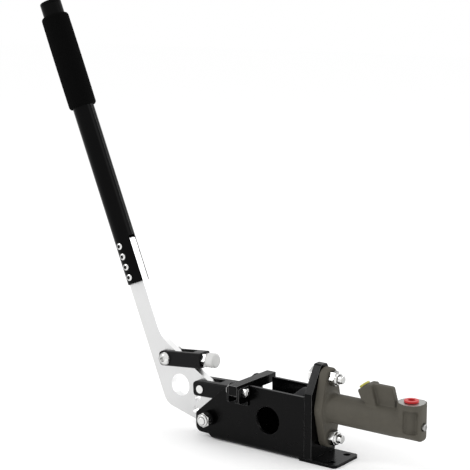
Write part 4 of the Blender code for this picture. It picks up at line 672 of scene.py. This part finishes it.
def foam_grip():
    """The foam sleeve: slightly crowned, rolled ends, and a dimpled skin in its mesh."""
    start, end, radius = grip_span()
    inner = TUBE_RADIUS + GAP
    lip = 0.0004
    roll = 0.0030
    crown = 0.0002
    rings = 150
    quarter = [step * pi / 16 for step in range(9)]
    shoulder = radius - crown - roll
    profile = [(start + lip, inner)]
    for angle in reversed(quarter):
        profile.append((start + roll - roll * sin(angle), shoulder + roll * cos(angle)))
    for index in range(1, rings):
        share = index / rings
        bulge = crown * (4 * share * (1 - share)) - crown
        profile.append((start + roll + (end - start - 2 * roll) * share, radius + bulge))
    for angle in quarter:
        profile.append((end - roll + roll * sin(angle), shoulder + roll * cos(angle)))
    profile.append((end - lip, inner))
    grip = turned("foam_sleeve", profile, segments=160, ring=True)
    smooth(grip, 60)
    texture = bpy.data.textures.new("foam cells", "CLOUDS")
    texture.noise_scale = 0.0016
    texture.noise_depth = 2
    dimple = grip.modifiers.new("cells", "DISPLACE")
    dimple.texture = texture
    dimple.texture_coords = "LOCAL"
    dimple.strength = 0.00026
    dimple.mid_level = 0.9
    plain(grip)
    moved(grip, TUBE)
    done(grip, foam, "lever", ["foam_grip"])


def tube_cap():
    """The end plug with a rounded rim."""
    inner = TUBE_RADIUS - TUBE_WALL - GAP
    seat = TUBE_LENGTH + GAP
    depth = 0.012
    chamfer = 0.0004
    lip = 0.0002
    height = 0.003
    edge = 0.0013
    profile = [(seat - depth, 0.0), (seat - depth, inner - chamfer), (seat - depth + chamfer, inner),
               (seat, inner), (seat, TUBE_RADIUS - lip), (seat + lip, TUBE_RADIUS)]
    profile += arc_profile((seat + height - edge, TUBE_RADIUS - edge), edge, 1.0, 0.0, 8)
    profile.append((seat + height, 0.0))
    cap = smooth(turned("tube_cap", profile), 40)
    moved(cap, TUBE)
    done(cap, tube_coat, "lever", ["tube_end_cap"])


def handle_screws():
    """The row of domed screws, with painted shade in their sockets."""
    screw = domed_screw(2 * TUBE_RADIUS)
    moved(screw, facing((0, 0, 0), (0, 1, 0)))
    row = grown("handle_screw_row", fastener_row, fastener=screw, count=SCREW_COUNT,
                first=(0.0, SCREW_SEAT, SCREW_FIRST), step=(0.0, 0.0, SCREW_STEP), finish=zinc)
    bpy.data.objects.remove(screw)
    smooth(row, NUT_ANGLE)
    names = [f"handle_screw_{number}" for number in range(1, SCREW_COUNT + 1)]
    done(row, zinc, "lever", names)
    # The faces inside each socket take the near-black zinc as painted shade
    row.data.materials.append(painted_socket_shade)
    for polygon in row.data.polygons:
        place = polygon.center
        nearest = min(abs(place.z - SCREW_FIRST - index * SCREW_STEP) for index in range(SCREW_COUNT))
        if place.y < SCREW_SEAT and Vector((place.x, nearest)).length < PAINTED_SHADE_RADIUS:
            polygon.material_index = 1
    moved(row, TUBE)


def dressed(node, name, material, body, width, segments=3, angle=28, edge=None):
    """A frame node's own shape with its sharp edges eased. The edges may take a finish of their own."""
    piece = merged_copy(node, name)
    if edge is None:
        eased(piece, width, segments, angle)
        return done(piece, material, body, [node])
    piece.data.materials.clear()
    piece.data.materials.append(material)
    piece.data.materials.append(edge)
    eased(piece, width, segments, angle, edge_slot=1)
    return done(piece, None, body, [node])


def coated_sheet(node, name, body):
    """A piece of coated sheet, its eased edges painted lighter as a highlight."""
    return dressed(node, name, coat, body, SHEET_EDGE, edge=coat_edge_highlight)


def small_part(node, name, material, body, width=STEEL_EDGE):
    """A small piece with finely eased edges."""
    return dressed(node, name, material, body, width, SMALL_STEPS, SMALL_ANGLE)


def plated(node, name, body, width=STEEL_EDGE):
    """A small piece in bright zinc."""
    return small_part(node, name, zinc, body, width)


def lever_blade():
    """The flat lever, its faces satin and its milled edges a smoother finish, painted near white as a
    highlight.
    """
    blade = dressed("lever_plate", "lever_blade", lever_metal, "lever", FORK_EDGE)
    blade.data.materials.append(lever_edge_highlight)
    for polygon in blade.data.polygons:
        if abs(polygon.normal.y) < EDGE_LEAN:
            polygon.material_index = 1


def cylinder_casting():
    """The cast cylinder with softened edges, its outlet's top face in bare turned metal."""
    piece = merged_copy("cylinder_body", "cylinder_casting")
    cast = piece.modifiers.new("cast skin", "REMESH")
    cast.mode = "VOXEL"
    cast.voxel_size = CAST_VOXEL
    soften = piece.modifiers.new("soft edges", "SMOOTH")
    soften.factor = 0.5
    soften.iterations = CAST_SOFTENING
    plain(piece)
    smooth(piece, 60)
    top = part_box("outlet_port_plug")[1].z - PLUG_PROUD
    done(piece, casting, "frame", ["cylinder_body"])
    piece.data.materials.append(machined)
    for polygon in piece.data.polygons:
        if polygon.normal.z > 0.999 and abs(polygon.center.z - top) < 0.0002:
            polygon.material_index = 1


def flange_nuts():
    """The pair of locking nuts on the flange, one above the other."""
    low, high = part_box("flange_nut_lower")
    upper_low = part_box("flange_nut_upper")[0]
    centre = (low + high) / 2
    nut = nut_shape("nut", high.z - low.z, high.x - low.x)
    moved(nut, facing((low.x, centre.y, centre.z), (1, 0, 0)))
    pair = grown("flange_nut_pair", fastener_row, fastener=nut, count=2, first=(0.0, 0.0, 0.0),
                 step=(0.0, 0.0, upper_low.z - low.z), finish=zinc)
    bpy.data.objects.remove(nut)
    smooth(pair, NUT_ANGLE)
    done(pair, zinc, "frame", ["flange_nut_lower", "flange_nut_upper"])


handle_tube()
foam_grip()
tube_cap()
handle_screws()
lever_blade()
dressed("stop_strut", "stop_strut_fork", fork_coat, "lever", FORK_EDGE)
plated("strut_bolt", "strut_screw", "lever", SCREW_EDGE)
plated("strut_nut", "strut_locknut", "lever", NUT_EDGE)
plated("bumper_lock_nut", "bumper_nut", "lever", NUT_EDGE)
dressed("bumper_pad", "bumper", white_rubber, "lever", FORK_EDGE, angle=SMALL_ANGLE)
keep_node("bumper_stud", zinc)
keep_node("pivot_bush", bronze)

dressed("pushrod_clevis", "clevis_fork", fork_coat, "pushrod", FORK_EDGE)
plated("clevis_pin", "clevis_pin_body", "pushrod")
keep_node("clevis_pin_clip", spring_steel)
plated("pushrod", "pushrod_bar", "pushrod")
plated("pushrod_jam_nut", "jam_nut", "pushrod", NUT_EDGE)

# Bracket, gate and cylinder
coated_sheet("base_bracket", "bracket_channel", "frame")
coated_sheet("rear_mount_plate", "mount_plate", "frame")
coated_sheet("gate_hinge_ears", "hinge_ears", "frame")
coated_sheet("gate_bar", "gate", "gate")
plated("gate_hinge_bolt", "gate_bolt", "frame")
plated("gate_hinge_nut", "gate_nut", "frame")
plated("pivot_bolt", "pivot_screw", "frame")
placed_nut("pivot_nut", "pivot_locknut", (0.0, -1.0, 0.0))
dressed("pivot_washer_near", "washer_near", coat, "frame", FORK_EDGE, angle=SMALL_ANGLE)
plated("pivot_washer_far", "washer_far", "frame")
keep_node("pivot_spacer_near", zinc)
keep_node("pivot_spacer_far", zinc)
for word in ("lower", "upper"):
    plated(f"flange_bolt_{word}", f"flange_screw_{word}", "frame", NUT_EDGE)
flange_nuts()
cylinder_casting()
small_part("dust_boot", "boot", rubber, "frame", NUT_EDGE)
small_part("outlet_port_plug", "outlet_plug", red_plastic, "frame")
small_part("reservoir_port_plug", "reservoir_plug", yellow_plastic, "frame")
small_part("bleed_screw", "bleed_plug", dull_zinc, "frame")
keep_node("circlip", spring_steel)
keep_node("piston_stop_washer", zinc)
keep_node("piston", piston_metal)
keep_node("secondary_seal", rubber)
keep_node("primary_seal", rubber)
keep_node("return_spring", spring_steel)


# Stage, light and camera

def light_path_mask(tree):
    """One where the ray is a camera, glossy or transmission ray."""
    path = tree.nodes.new("ShaderNodeLightPath")
    first = linked(tree, "ShaderNodeMath", None, {0: path.outputs["Is Camera Ray"],
                                                  1: path.outputs["Is Glossy Ray"]}, operation="MAXIMUM")
    second = linked(tree, "ShaderNodeMath", None, {0: first.outputs[0],
                                                   1: path.outputs["Is Transmission Ray"]},
                    operation="MAXIMUM")
    return second.outputs[0]


def white_world(level):
    """White to the eye and in reflections, and of its own level as a light."""
    world = bpy.data.worlds.new("studio")
    bpy.context.scene.world = world
    world.use_nodes = True
    tree = world.node_tree
    background = tree.nodes["Background"]
    strength = linked(tree, "ShaderNodeMapRange", {"To Min": level, "To Max": 1.0},
                      {"Value": light_path_mask(tree)})
    background.inputs["Color"].default_value = (1.0, 1.0, 1.0, 1.0)
    tree.links.new(strength.outputs[0], background.inputs["Strength"])


def pale_floor(size):
    """A plain pale floor just under the bracket."""
    shape = bmesh.new()
    bmesh.ops.create_grid(shape, x_segments=1, y_segments=1, size=size)
    floor = new_piece("studio_floor", shape)
    moved(floor, Matrix.Translation((0.0, 0.0, -0.0002)))
    material = bpy.data.materials.new("pale floor")
    material.use_nodes = True
    tree = material.node_tree
    shader = tree.nodes["Principled BSDF"]
    shader.inputs["Base Color"].default_value = (0.995, 0.995, 0.995, 1.0)
    shader.inputs["Roughness"].default_value = 0.9
    shader.inputs["Specular IOR Level"].default_value = 0.0
    floor.data.materials.append(material)


def area_light(name, place, target, width, height, power):
    """A soft box aimed at a point."""
    lamp = bpy.data.lights.new(name, "AREA")
    lamp.shape = "RECTANGLE"
    lamp.size = width
    lamp.size_y = height
    lamp.energy = power
    holder = bpy.data.objects.new(name, lamp)
    holder.location = place
    aim = Vector(target) - Vector(place)
    holder.rotation_euler = aim.to_track_quat("-Z", "Y").to_euler()
    bpy.context.scene.collection.objects.link(holder)


def photo_camera():
    """The photograph's viewpoint, as fitted: 36.8 degrees round and 10.5 degrees above."""
    turn = radians(36.8)
    tilt = radians(10.5)
    from_pivot = Vector((0.8053, -1.0552, 0.4245))
    camera = bpy.data.cameras.new("camera")
    camera.sensor_width = 36.0
    camera.lens = 107.2
    camera.clip_start = 0.05
    camera.clip_end = 20.0
    holder = bpy.data.objects.new("camera", camera)
    holder.location = PIVOT + from_pivot
    direction = Vector((-sin(turn) * cos(tilt), cos(turn) * cos(tilt), -sin(tilt)))
    holder.rotation_euler = direction.to_track_quat("-Z", "Y").to_euler()
    bpy.context.scene.collection.objects.link(holder)
    bpy.context.scene.camera = holder


white_world(level=1.0)
pale_floor(size=6.0)
area_light("key", place=(-1.14, -1.07, 1.30), target=(0.04, -0.01, 0.08), width=0.4, height=0.4,
           power=8.0)
area_light("rim", place=(1.3, 0.5, 1.1), target=(0.0, 0.0, 0.12), width=0.7, height=0.7, power=3.0)
area_light("tube_strip", place=(0.5, 1.3, 0.45), target=(-0.15, 0.0, 0.20), width=0.15, height=1.2,
           power=5.0)
photo_camera()
bpy.context.scene.view_settings.view_transform = "Standard"
